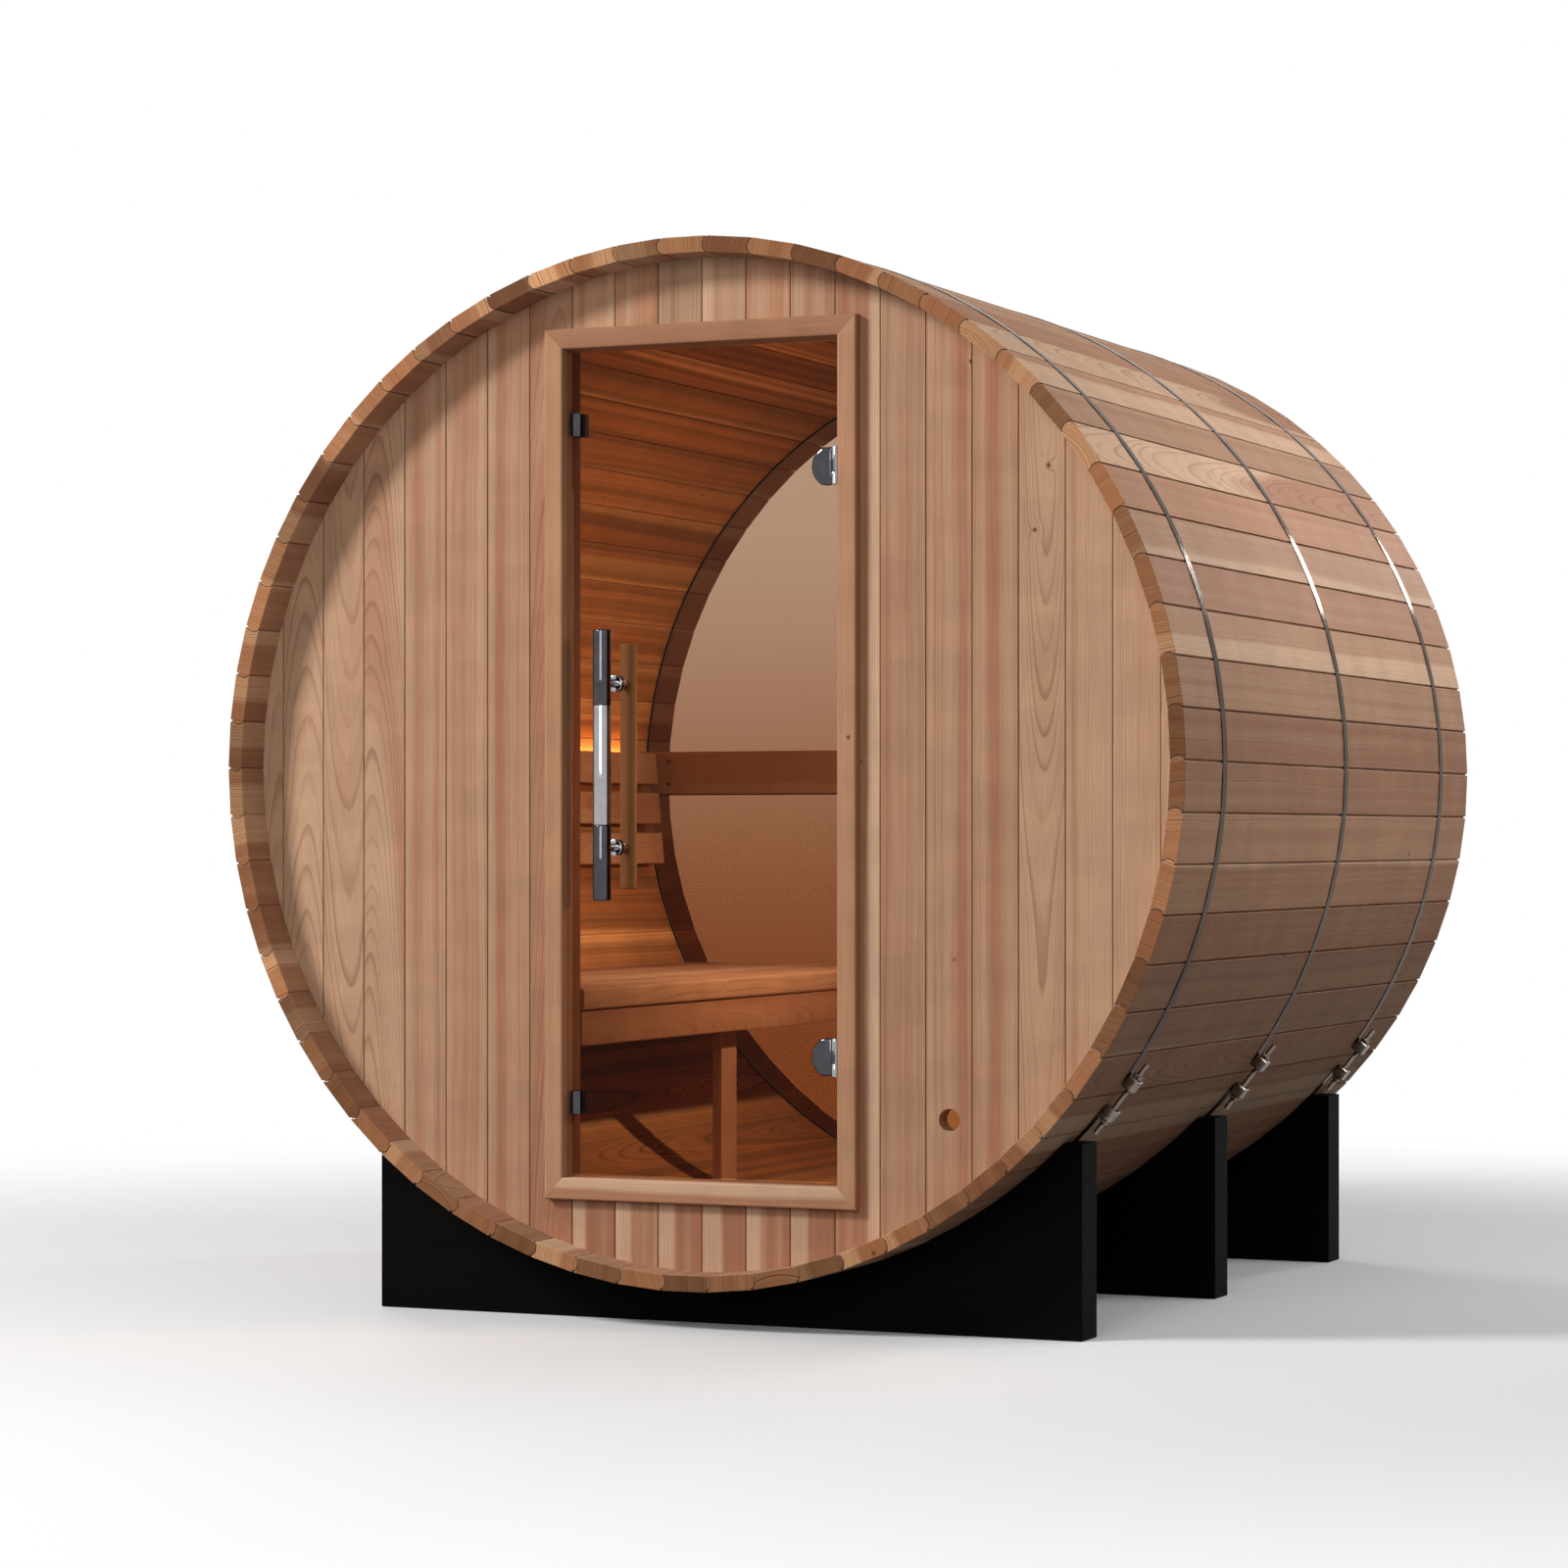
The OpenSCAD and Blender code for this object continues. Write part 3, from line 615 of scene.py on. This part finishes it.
black_plastic = plastic("black_plastic", srgb(12, 12, 13), srgb(24, 24, 25), 0.42)
door_tint = tinted_glass("door_tint", GLASS_TINT)
rear_tint = tinted_glass("rear_tint", PAINTED_SHADE_FOOT_TINT, PAINTED_LIGHT_HEAD_TINT)


# The barrel
def stave_section():
    """Section of the stave at the top about the barrel's axis: cove right, bead left.

    Outside, the joint shows as a narrow groove between two eased edges.
    """
    half = PITCH / 2
    middle = (INNER_FLAT + OUTER_FLAT) / 2 / math.cos(half)
    lift = BEAD_BACK * math.sin(half)
    reach = middle * math.sin(half)
    level = middle * math.cos(half)
    cove_centre = (reach + BEAD_BACK * math.cos(half), level - lift)
    bead_centre = (BEAD_BACK * math.cos(half) - reach, level + lift)
    cove_r = BEAD_R + JOINT_GAP

    def angle(height, centre, radius):
        return math.asin((height - centre[1]) / radius)

    cove_low = math.pi - angle(INNER_FLAT + 2 * JOINT_GAP, cove_centre, cove_r)
    cove_high = math.pi - angle(OUTER_FLAT - STAVE_EASE, cove_centre, cove_r)
    bead_high = math.pi - angle(OUTER_FLAT - JOINT_DEPTH, bead_centre, BEAD_R)
    bead_low = math.pi - angle(INNER_FLAT + 2 * JOINT_GAP, bead_centre, BEAD_R)
    inner_half = INNER_FLAT * math.tan(half) - JOINT_GAP
    cove = arc(cove_centre, cove_r, cove_low, cove_high)
    shoulder = SHOULDER - OUTER_FLAT * math.tan(half)
    return [
        (inner_half, INNER_FLAT),
        *cove,
        (cove[-1][0] - STAVE_EASE, OUTER_FLAT),
        (shoulder + STAVE_EASE, OUTER_FLAT),
        (shoulder, OUTER_FLAT - STAVE_EASE),
        (shoulder, OUTER_FLAT - JOINT_DEPTH),
        *arc(bead_centre, BEAD_R, bead_high, bead_low),
        (-inner_half, INNER_FLAT),
    ]


def stave_stations():
    """Stations of a stave, with its rims eased and a groove for each end wall."""
    section = stave_section()
    groove = [(a, max(t, INNER_FLAT + CROZE_DEPTH)) for a, t in section]
    rim = inset(section, RIM_EASE)
    stations = [(rim, FRONT_Y), (section, FRONT_Y + RIM_EASE)]
    for start, end in ((WALL_FRONT, WALL_BACK), (REAR_GLASS, REAR_GLASS_BACK)):
        stations += [(section, start), (groove, start), (groove, end), (section, end)]
    return stations + [(section, REAR_Y - RIM_EASE), (rim, REAR_Y)]


def build_staves():
    middle = (INNER_FLAT + OUTER_FLAT) / 2
    centred = [([(a, t - middle) for a, t in outline], y) for outline, y in stave_stations()]
    for segment, side in enumerate(SEGMENTS):
        boards = Shape()
        for i in range(SEGMENT_STAVES):
            turn = (segment * SEGMENT_STAVES + i - (SEGMENT_STAVES - 1) / 2) * PITCH
            placing = moved(0, 0, AXIS_Z) @ Matrix.Rotation(turn, 4, "Y") @ moved(0, 0, middle)
            log = Log(flat_sawn=rng.random() < STAVE_FIGURED, sap=rng.uniform(*STAVE_SAP))
            boards.add(centred, placing, log)
        make_piece("stave_boards_" + side, boards, stave_cedar, ["staves_" + side])


# The front wall
def disc_arc(left, right, upper, steps=6):
    """Points of the round edge of the wall between two uprights, from left to right."""
    places = [left + (right - left) * i / steps for i in range(steps + 1)]
    sign = 1 if upper else -1
    return [(x, sign * math.sqrt(END_R ** 2 - x ** 2)) for x in places]


def add_wall_board(boards, outline, left, right, log, hole=None):
    """One upright board cut to an outline given across the wall from its middle."""
    centre = (left + right) / 2
    half = (WALL_BACK - WALL_FRONT) / 2
    placing = moved(centre, WALL_FRONT + half, AXIS_Z) @ UPRIGHT
    shifted = [(x - centre, z) for x, z in outline]
    holes = []
    if hole:
        rim = [(x - centre, z) for x, z in hole]
        holes.append(eased_ends(rim, -half, half, BOARD_EASE))
    boards.add(grooved_faces(shifted, -half, half), placing, log, swept=False, holes=holes)


# Shares of figured wall boards, left of a board's number and elsewhere; then hue and tone
# on the middle line, how they change towards the edge, and how far a board may stray
FAR_LEFT = -6
FAR_LEFT_FIGURED = 0.9
FIGURED = 0.25
MID_HUE, HUE_FALL, HUE_STRAY = 1.15, 1.3, 0.15
MID_TONE, TONE_RISE, TONE_STRAY = 0.1, 0.55, 0.2


def wall_log(k, count):
    """Rosy straight boards near the doorway, paler and more figured ones towards the edge."""
    edge = abs(k + 0.5) / count
    figured = rng.random() < (FAR_LEFT_FIGURED if k < FAR_LEFT else FIGURED)
    hue = MID_HUE - HUE_FALL * edge + stray(HUE_STRAY)
    tone = MID_TONE + TONE_RISE * edge + rng.uniform(0.0, TONE_STRAY)
    return Log(flat_sawn=figured, tone=tone, hue=min(1.0, max(0.0, hue)))


def build_front_wall():
    parts = {side: Shape() for side in ("left", "right", "above_door", "below_door")}
    count = math.ceil(END_R / BOARD_W)
    reach = END_R * RIM_REACH
    for k in range(-count, count):
        left = max(k * BOARD_W, -reach)
        right = min((k + 1) * BOARD_W, reach)
        bottom = disc_arc(left, right, upper=False)
        top = disc_arc(left, right, upper=True)[::-1]
        if max(-left, right) <= ROUGH_HALF:
            over = [(left, ROUGH_TOP), (right, ROUGH_TOP), *top]
            under = [*bottom, (right, ROUGH_BOTTOM), (left, ROUGH_BOTTOM)]
            plain = Log(flat_sawn=False, hue=rng.uniform(0.0, 0.6))
            add_wall_board(parts["above_door"], over, left, right, plain)
            edged = Log(flat_sawn=False, tone=rng.uniform(0.0, 0.4), hue=rng.uniform(0.6, 1.0),
                        sap=rng.uniform(0.008, 0.016), turn=1)
            add_wall_board(parts["below_door"], under, left, right, edged)
            continue
        outline = bottom + top
        if left < ROUGH_HALF < right:
            outline = outline + [(left, ROUGH_TOP), (ROUGH_HALF, ROUGH_TOP),
                                 (ROUGH_HALF, ROUGH_BOTTOM), (left, ROUGH_BOTTOM)]
        if left < -ROUGH_HALF < right:
            outline = bottom + [(right, ROUGH_BOTTOM), (-ROUGH_HALF, ROUGH_BOTTOM),
                                (-ROUGH_HALF, ROUGH_TOP), (right, ROUGH_TOP)] + top
        hole = None
        if left < VENT_X < right:
            hole = arc((VENT_X, VENT_Z), VENT_R, 2 * math.pi, 0, 40)[:-1]
        boards = parts["left" if k < 0 else "right"]
        add_wall_board(boards, outline, left, right, wall_log(k, count), hole)
    for side, boards in parts.items():
        make_piece("wall_boards_" + side, boards, wall_cedar, ["front_wall_" + side])


def build_lining():
    """Jambs, head and sill of the doorway."""
    jambs = Shape()
    foot, top = low("door_jambs"), high("door_jambs")
    jambs.add_box(foot, (-OPEN_HALF, top.y, top.z), 2, Log(flat_sawn=False))
    jambs.add_box((OPEN_HALF, foot.y, foot.z), top, 2, Log(flat_sawn=False))
    make_piece("jamb_boards", jambs, casing_cedar, ["door_jambs"])
    for node in ("door_head", "door_sill"):
        board = Shape()
        board.add_box(low(node), high(node), 0, Log(flat_sawn=False))
        make_piece(node + "_board", board, casing_cedar, [node])


def casing_section(width, thickness):
    """Section of a casing with its two front edges rounded, front towards minus."""
    ease = CASING_EASE
    return [
        *arc((-width / 2 + ease, -thickness / 2 + ease), ease, math.pi, 1.5 * math.pi, 5),
        *arc((width / 2 - ease, -thickness / 2 + ease), ease, 1.5 * math.pi, 2 * math.pi, 5),
        (width / 2, thickness / 2),
        (-width / 2, thickness / 2),
    ]


def build_casings():
    """The four casings round the doorway, mitred where they meet."""
    outer_low, outer_high = low("casing_left"), high("casing_right")
    top_in, bottom_in = low("casing_top").z, high("casing_bottom").z
    thickness = outer_high.y - outer_low.y
    middle_y = (outer_high.y + outer_low.y) / 2
    side_w = outer_high.x - OPEN_HALF
    top_w = outer_high.z - top_in
    bottom_w = bottom_in - outer_low.z
    for side, sign in (("left", -1), ("right", 1)):
        section = casing_section(side_w, thickness)

        def foot(a, sign=sign):
            return outer_low.z + bottom_w * (0.5 - sign * a / side_w)

        def head(a, sign=sign):
            return outer_high.z - top_w * (0.5 - sign * a / side_w)

        board = Shape()
        placing = moved(sign * (OPEN_HALF + side_w / 2), middle_y, 0) @ UPRIGHT
        log = Log(flat_sawn=False, tone=0.6, sap=1.0)
        board.add(mitred_ends(section, foot, head), placing, log)
        make_piece("casing_board_" + side, board, casing_cedar, ["casing_" + side])
    ends = (("top", top_in, top_w, 1, 0.0, 1.0), ("bottom", bottom_in, bottom_w, -1, 0.5, 0.0))
    for level, inner, width, sign, tone, sap in ends:
        section = casing_section(width, thickness)

        def left_end(a, sign=sign, width=width):
            return -outer_high.x + side_w * (0.5 - sign * a / width)

        def right_end(a, sign=sign, width=width):
            return outer_high.x - side_w * (0.5 - sign * a / width)

        board = Shape()
        placing = moved(0, middle_y, inner + sign * width / 2) @ CROSSWISE
        log = Log(flat_sawn=False, tone=tone, hue=0.9, sap=sap, turn=-1)
        board.add(mitred_ends(section, left_end, right_end), placing, log)
        make_piece("casing_board_" + level, board, casing_cedar, ["casing_" + level])


# Door handles
BAR_R = 0.016
GRIP_R = 0.015
POST_R = 0.008
POST_SPACING = 0.290
ROSE_R = 0.015
ROSE_T = 0.005
BAR_EASE = 0.003
BAR_END = 0.28


def add_posts(shape, x, axis_y, face_y):
    """Two posts from a bar to the glass, each on a rose."""
    outwards = math.copysign(ROSE_T, axis_y - face_y)
    for side in (-1, 1):
        placing = moved(x, 0, AXIS_Z + side * POST_SPACING / 2)
        shape.add(round_bar(POST_R, min(axis_y, face_y), max(axis_y, face_y), POST_R / 8), placing)
        rose = sorted((face_y, face_y + outwards))
        shape.add(round_bar(ROSE_R, *rose, ROSE_T / 3), placing)


def build_handles():
    foot, top = low("handle_outer"), high("handle_outer")
    x = (foot.x + top.x) / 2
    bar_y = foot.y + BAR_R
    reach = BAR_END * (top.z - foot.z)
    upright = moved(x, bar_y, 0) @ UPRIGHT
    bar = Shape()
    bar.add(round_bar(BAR_R, foot.z + reach, top.z - reach, BAR_EASE / 8), upright)
    add_posts(bar, x, bar_y, DOOR_FRONT)
    make_piece("handle_bar", bar, chrome, ["handle_outer"], "door")
    ends = Shape()
    ends.add(round_bar(BAR_R, foot.z, foot.z + reach, BAR_EASE), upright)
    ends.add(round_bar(BAR_R, top.z - reach, top.z, BAR_EASE), upright)
    make_piece("handle_ends", ends, polished_steel, body="door")

    foot, top = low("handle_inner"), high("handle_inner")
    grip_y = top.y - GRIP_R
    grip = Shape()
    placing = moved(x, grip_y, 0) @ UPRIGHT
    grip.add(round_bar(GRIP_R, foot.z, top.z, BAR_EASE), placing, Log(flat_sawn=False))
    make_piece("handle_grip", grip, grip_wood, ["handle_inner"], "door")
    posts = Shape()
    add_posts(posts, x, grip_y, DOOR_BACK)
    make_piece("handle_posts", posts, chrome, body="door")


# Hinge leaves on the glass; the dome's steps are an inset and a share of the thickness
HINGE_H = 0.065
LEAF_W = 0.039
LEAF_T = 0.004
KNUCKLE_R = 0.0055
KNUCKLE_H = 0.0214
KNUCKLE_EASE = 0.0006
ARM_EASE = 0.0008
DOME = ((0.0, 0.0), (0.0, 0.3), (0.0012, 0.68), (0.003, 0.9), (0.006, 1.0))


def leaf_outline():
    """D shape from a straight edge at 0 to a round one towards minus."""
    half = HINGE_H / 2
    radius = (half ** 2 + LEAF_W ** 2 / 4) / LEAF_W
    reach = math.asin(half / radius)
    round_edge = arc((radius - LEAF_W, 0), radius, math.pi - reach, math.pi + reach, 24)
    return [(0, -half), (0, half), *round_edge]


def build_hinge_leaves():
    """Domed clamp plates on both faces of the glass, with the middle knuckle of each hinge."""
    foot, top = low("hinge_plates"), high("hinge_plates")
    pin_x = top.x - KNUCKLE_R
    pin_y = DOOR_FRONT - KNUCKLE_R
    edge_x = foot.x + LEAF_W
    outline = leaf_outline()
    dome = [(inset(outline, depth) if depth else outline, rise) for depth, rise in DOME]
    leaves = Shape()
    for z in (foot.z + HINGE_H / 2, top.z - HINGE_H / 2):
        for face, side in ((DOOR_FRONT, -1), (DOOR_BACK, 1)):
            stations = [(loop, face + side * rise * LEAF_T) for loop, rise in dome]
            leaves.add(stations, moved(edge_x, 0, z))
        leaves.add_box((edge_x - LEAF_T, DOOR_FRONT - LEAF_T, z - KNUCKLE_H / 2),
                       (pin_x, DOOR_FRONT, z + KNUCKLE_H / 2), 0, ease=ARM_EASE)
        leaves.add(round_bar(KNUCKLE_R, z - KNUCKLE_H / 2, z + KNUCKLE_H / 2, KNUCKLE_EASE),
                   moved(pin_x, pin_y, 0) @ UPRIGHT)
    make_piece("hinge_leaves", leaves, polished_steel, ["hinge_plates"], "door")


# Screws that tighten the hoops
BLOCK = 0.024
BLOCK_SPACING = 0.066
BLOCK_EASE = 0.002
BLOCK_LIFT = 0.0022
ROD_R = 0.0045
ROD_LEN = 0.154
NUT_R = 0.0087
NUT_T = 0.008


def build_tensioners():
    for place in ("front", "middle", "rear"):
        node = "tensioner_" + place
        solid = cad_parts[node]
        corners = [solid.matrix_world @ vertex.co for vertex in solid.data.vertices]
        middle = sum(corners, Vector()) / len(corners)
        turn = math.atan2(middle.x, middle.z - AXIS_Z)
        y = (low(node).y + high(node).y) / 2
        base = moved(0, y, AXIS_Z) @ Matrix.Rotation(turn, 4, "Y")
        base = base @ moved(0, 0, OUTER_FLAT + BLOCK_LIFT)
        along_rod = base @ moved(0, 0, BLOCK / 2) @ CROSSWISE
        shape = Shape()
        shape.add(threaded_rod(ROD_R, -ROD_LEN / 2, ROD_LEN / 2), along_rod)
        for side in (-1, 1):
            centre = side * BLOCK_SPACING / 2
            shape.add_box((centre - BLOCK / 2, -BLOCK / 2, 0),
                          (centre + BLOCK / 2, BLOCK / 2, BLOCK), 0, ease=BLOCK_EASE, placing=base)
            face = centre + side * BLOCK / 2
            nut = sorted((face, face + side * NUT_T))
            shape.add(eased_ends(circle(NUT_R, 6), *nut, NUT_T / 8), along_rod)
        make_piece("tension_screw_" + place, shape, screw_steel, [node])


# Bench, backrest and rear end
def cabin_x(z):
    """Half the width of the cabin at a height from the axis."""
    return math.sqrt(INNER_FLAT ** 2 - z ** 2)


SEAT_BOARDS = 6
FASCIA_GAP = 0.003


def build_bench():
    top = high("bench_seat").z - AXIS_Z
    under = low("bench_seat").z - AXIS_Z
    front = high("bench_seat").x
    back_top, back_under = -cabin_x(top), -cabin_x(under)
    width = (front - back_top) / SEAT_BOARDS
    seat = Shape()
    for i in range(SEAT_BOARDS):
        right = front - i * width
        left = right - width
        if i == 0:
            lower_round = arc((right - SEAT_EASE, under + SEAT_EASE), SEAT_EASE, -math.pi / 2, 0, 4)
            upper_round = arc((right - SEAT_EASE, top - SEAT_EASE), SEAT_EASE, 0, math.pi / 2, 4)
            section = [(left, under), *lower_round, *upper_round, (left, top)]
        elif i == SEAT_BOARDS - 1:
            section = [(back_under, under), (right, under), (right, top), (back_top, top)]
        else:
            section = rectangle(left, under, right, top, EDGE_EASE / 2, 2)
        start = BENCH_Y if right > -ROUGH_HALF else WALL_BACK
        centre = (left + right) / 2
        shifted = [(x - centre, z - top) for x, z in section]
        placing = moved(centre, 0, AXIS_Z + top)
        stations = eased_ends(shifted, start, BENCH_END, EDGE_EASE / 2)
        seat.add(stations, placing, Log(flat_sawn=i > 0))
    make_piece("seat_boards", seat, inner_cedar, ["bench_seat"])

    fascia = Shape()
    head = high("bench_fascia")
    lowered = (head.x, head.y, head.z - FASCIA_GAP)
    fascia.add_box(low("bench_fascia"), lowered, 1, Log(flat_sawn=True))
    make_piece("fascia_board", fascia, inner_cedar, ["bench_fascia"])

    foot, head = low("bench_leg"), high("bench_leg")
    centre = (foot.x + head.x) / 2
    outline = [(foot.x - centre, -cabin_x(foot.x)), (head.x - centre, -cabin_x(head.x)),
               (head.x - centre, head.z - AXIS_Z), (foot.x - centre, head.z - AXIS_Z)]
    leg = Shape()
    leg.add(eased_ends(outline, foot.y, head.y, EDGE_EASE), moved(centre, 0, AXIS_Z) @ UPRIGHT,
            Log(flat_sawn=False), swept=False)
    make_piece("leg_board", leg, inner_cedar, ["bench_leg"])


BACK_LEAN = math.radians(5)
SLAT_H = 0.067
SLAT_T = 0.018
SLAT_PITCH = 0.086
SLAT_COUNT = 3
SLAT_EASE = 0.003
BACK_FACE = -0.831964
BACK_RISE = -0.064


def build_backrest():
    placing = moved(BACK_FACE, 0, AXIS_Z + BACK_RISE) @ Matrix.Rotation(-BACK_LEAN, 4, "Y")
    start, end = low("backrest_slats").y, high("backrest_slats").y
    back_h = (SLAT_COUNT - 1) * SLAT_PITCH + SLAT_H
    slats = Shape()
    for i in range(SLAT_COUNT):
        foot = i * SLAT_PITCH - back_h / 2
        slats.add_box((-SLAT_T, start, foot), (0, end, foot + SLAT_H), 1, Log(flat_sawn=True),
                      SLAT_EASE, placing)
    make_piece("slat_boards", slats, inner_cedar, ["backrest_slats"])


def build_rear_rail():
    foot, top = low("rear_rail"), high("rear_rail")
    lower, upper = foot.z - AXIS_Z, top.z - AXIS_Z
    half = (top.y - foot.y) / 2
    outline = [(lower, cabin_x(lower)), (upper, cabin_x(upper)),
               (upper, -cabin_x(upper)), (lower, -cabin_x(lower))]
    board = Shape()
    placing = moved(0, foot.y + half, AXIS_Z) @ CROSSWISE
    # Painted shade: the rail's board is given a tone far below the others, standing in for the
    # shade it lies in
    dark = Log(flat_sawn=False, tone=-0.8, hue=0.2)
    board.add(eased_ends(outline, -half, half, EDGE_EASE), placing, dark, swept=False)
    make_piece("rail_board", board, inner_cedar, ["rear_rail"])


SCREW_X = 0.8145
SCREW_RISE = 0.0245
SCREW_R = 0.0045
SCREW_T = 0.0018
SCREW_STEPS = ((0.3, 0.2), (0.4, 1.0), (0.75, 1.0), (1.0, 0.4), (1.0, 0.0))


def build_rail_screws():
    """Screw heads near both ends of the rail, each with a recess for the driver.

    A head's steps are shares of its radius and of its thickness.
    """
    face = low("rear_rail").y
    middle = (low("rear_rail").z + high("rear_rail").z) / 2
    head = [(circle(SCREW_R * wide), face - SCREW_T * rise) for wide, rise in SCREW_STEPS]
    screws = Shape()
    for x in (-SCREW_X, SCREW_X):
        for rise in (-SCREW_RISE, SCREW_RISE):
            screws.add(head, moved(x, 0, middle + rise))
    make_piece("rail_screws", screws, screw_steel)


GASKET_W = 0.005
GASKET_T = 0.0038


def build_gasket():
    """A rubber strip where the staves meet the rear glass, above and below the rail."""
    rail_low = low("rear_rail").z - AXIS_Z
    rail_high = high("rear_rail").z - AXIS_Z
    front = REAR_GLASS - GASKET_W
    section = rectangle(INNER_FLAT - GASKET_T, front, INNER_FLAT, REAR_GLASS, FINE_EASE)
    upper = math.acos(rail_high / INNER_FLAT)
    lower = math.acos(rail_low / INNER_FLAT)
    gasket = Shape()
    gasket.add_arc(section, -upper, upper)
    gasket.add_arc(section, lower, 2 * math.pi - lower)
    half = cabin_x(rail_low) - GASKET_T
    foot = AXIS_Z + rail_low - GASKET_T
    gasket.add_box((-half, front, foot), (half, REAR_GLASS, foot + GASKET_T), 0, ease=FINE_EASE)
    make_piece("rear_gasket", gasket, black_plastic)


build_staves()
build_front_wall()
build_lining()
build_casings()
build_handles()
build_hinge_leaves()
build_tensioners()
build_bench()
build_backrest()
build_rear_rail()
build_rail_screws()
build_gasket()


# Solids that are kept
WELD_REACH = 1e-5
SHARP_ANGLE = math.radians(40)


def dress(node, material, ease=0.0):
    """Gives a kept solid its finish and eases its sharp edges."""
    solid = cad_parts[node]
    solid.data.materials.clear()
    solid.data.materials.append(material)
    if ease:
        weld = solid.modifiers.new("weld", "WELD")
        weld.merge_threshold = WELD_REACH
        bevel = solid.modifiers.new("ease", "BEVEL")
        bevel.width = ease
        bevel.segments = 2
        bevel.limit_method = "ANGLE"
        bevel.angle_limit = SHARP_ANGLE


for place in ("front", "middle", "rear"):
    dress("cradle_" + place, black_timber, CRADLE_EASE)
    dress("hoop_" + place, hoop_steel)
dress("hinge_brackets", chrome, EDGE_EASE)
dress("catch_clips", polished_steel, EDGE_EASE)
dress("catch_blocks", black_plastic, FINE_EASE)
dress("door_glass", door_tint)
dress("rear_glass_upper", rear_tint)
dress("rear_glass_lower", rear_tint)
dress("backrest_battens", batten_cedar, FINE_EASE)


# Stage, light and camera
FLOOR_HALF = 20.0
FLOOR_FADE = (1.7, 4.2)
FLOOR_SEEN = (0.86, 0.86, 0.86, 1.0)
FLOOR_LIT = (0.14, 0.14, 0.14, 1.0)
AMBIENT = 0.18
WARM = (1.0, 0.84, 0.64)
GLOW = (1.0, 0.66, 0.34)


def seen_directly(tree):
    """One for what the camera sees, also in metal and through glass; else zero."""
    path = tree.add("LightPath").outputs
    seen = tree.math("MAXIMUM", path["Is Camera Ray"], path["Is Glossy Ray"])
    return tree.math("MAXIMUM", seen, path["Is Transmission Ray"])


def build_floor():
    """A pale floor that fades into the white around it, and throws little light back up."""
    mesh = bpy.data.meshes.new("floor")
    corners = rectangle(-FLOOR_HALF, -FLOOR_HALF, FLOOR_HALF, FLOOR_HALF)
    mesh.from_pydata([(x, y, 0) for x, y in corners], [], [(0, 1, 2, 3)])
    tree = new_tree("floor")
    distance = tree.vector("LENGTH", tree.add("TexCoord").outputs["Object"])
    colour = tree.mix(seen_directly(tree), FLOOR_LIT, FLOOR_SEEN)
    pale = tree.add("BsdfDiffuse", {"Color": colour})
    clear = tree.add("BsdfTransparent")
    fade = tree.range(distance, *FLOOR_FADE)
    mixed = tree.add("MixShader", {0: fade, 1: pale.outputs[0], 2: clear.outputs[0]})
    mesh.materials.append(tree.finish(mixed))
    floor = bpy.data.objects.new("floor", mesh)
    bpy.context.scene.collection.objects.link(floor)


def build_world(ambient):
    """White to the camera, in metal and through glass; a soft level on the object."""
    world = bpy.data.worlds.new("studio")
    bpy.context.scene.world = world
    tree = Tree(world)
    level = tree.range(seen_directly(tree), 0.0, 1.0, ambient, 1.0)
    tree.finish(tree.add("Background", {"Color": WHITE, "Strength": level}), "OutputWorld")


def area_light(name, place, target, size, power, colour=(1.0, 1.0, 1.0), length=None, spread=180,
               mirrored=True):
    """A soft lamp; one with a length is a strip that lies along the barrel.

    Metal and glass show a lamp only if it is mirrored.
    """
    data = bpy.data.lights.new(name, "AREA")
    data.energy = power
    data.color = colour
    data.size = size
    data.spread = math.radians(spread)
    if length:
        data.shape = "RECTANGLE"
        data.size = length
        data.size_y = size
    lamp = bpy.data.objects.new(name, data)
    lamp.location = place
    lamp.rotation_euler = (Vector(target) - Vector(place)).to_track_quat("-Z", "Y").to_euler()
    lamp.visible_camera = False
    lamp.visible_glossy = mirrored
    bpy.context.scene.collection.objects.link(lamp)


def build_camera():
    data = bpy.data.cameras.new("camera")
    data.sensor_width = 36.0
    data.lens = 96.744
    data.shift_x = -0.02017
    data.shift_y = 0.03414
    camera = bpy.data.objects.new("camera", data)
    camera.location = (3.1246, -7.5015, 0.8579)
    camera.rotation_euler = (math.radians(90), 0, math.radians(23.529))
    bpy.context.scene.collection.objects.link(camera)
    bpy.context.scene.camera = camera


build_floor()
build_world(AMBIENT)
area_light("key", (-4.2, -5.2, 4.6), (0, -0.5, 1.0), 1.4, 430)
area_light("fill", (0.8, -7.0, 2.4), (0.2, -0.8, 1.2), 3.0, 140)
area_light("right", (2.16, 0.35, 2.42), (0.0, 0.35, 0.99), 0.6, 31, length=2.6)
area_light("rear", (1.5, 4.6, 2.5), (0.3, 0.9, 1.2), 0.5, 34)
area_light("back", (-4.5, 4.5, 3.0), (0, 0.9, 1.0), 2.5, 130)
area_light("cabin", (0.82, -0.05, 1.15), (-0.5, 0.0, 0.80), 0.06, 5.5, WARM,
           spread=110, mirrored=False)
area_light("ceiling", (0.0, 0.0, 1.62), (-0.45, 0.0, 0.6), 0.2, 2.6, length=1.0, spread=80,
           mirrored=False)
area_light("backrest_glow", (-0.866, 0.0, 1.02), (-0.885, 0.0, 1.1), 0.01, 2.2, GLOW, length=1.4,
           mirrored=False)
build_camera()
bpy.context.scene.view_settings.view_transform = "Standard"
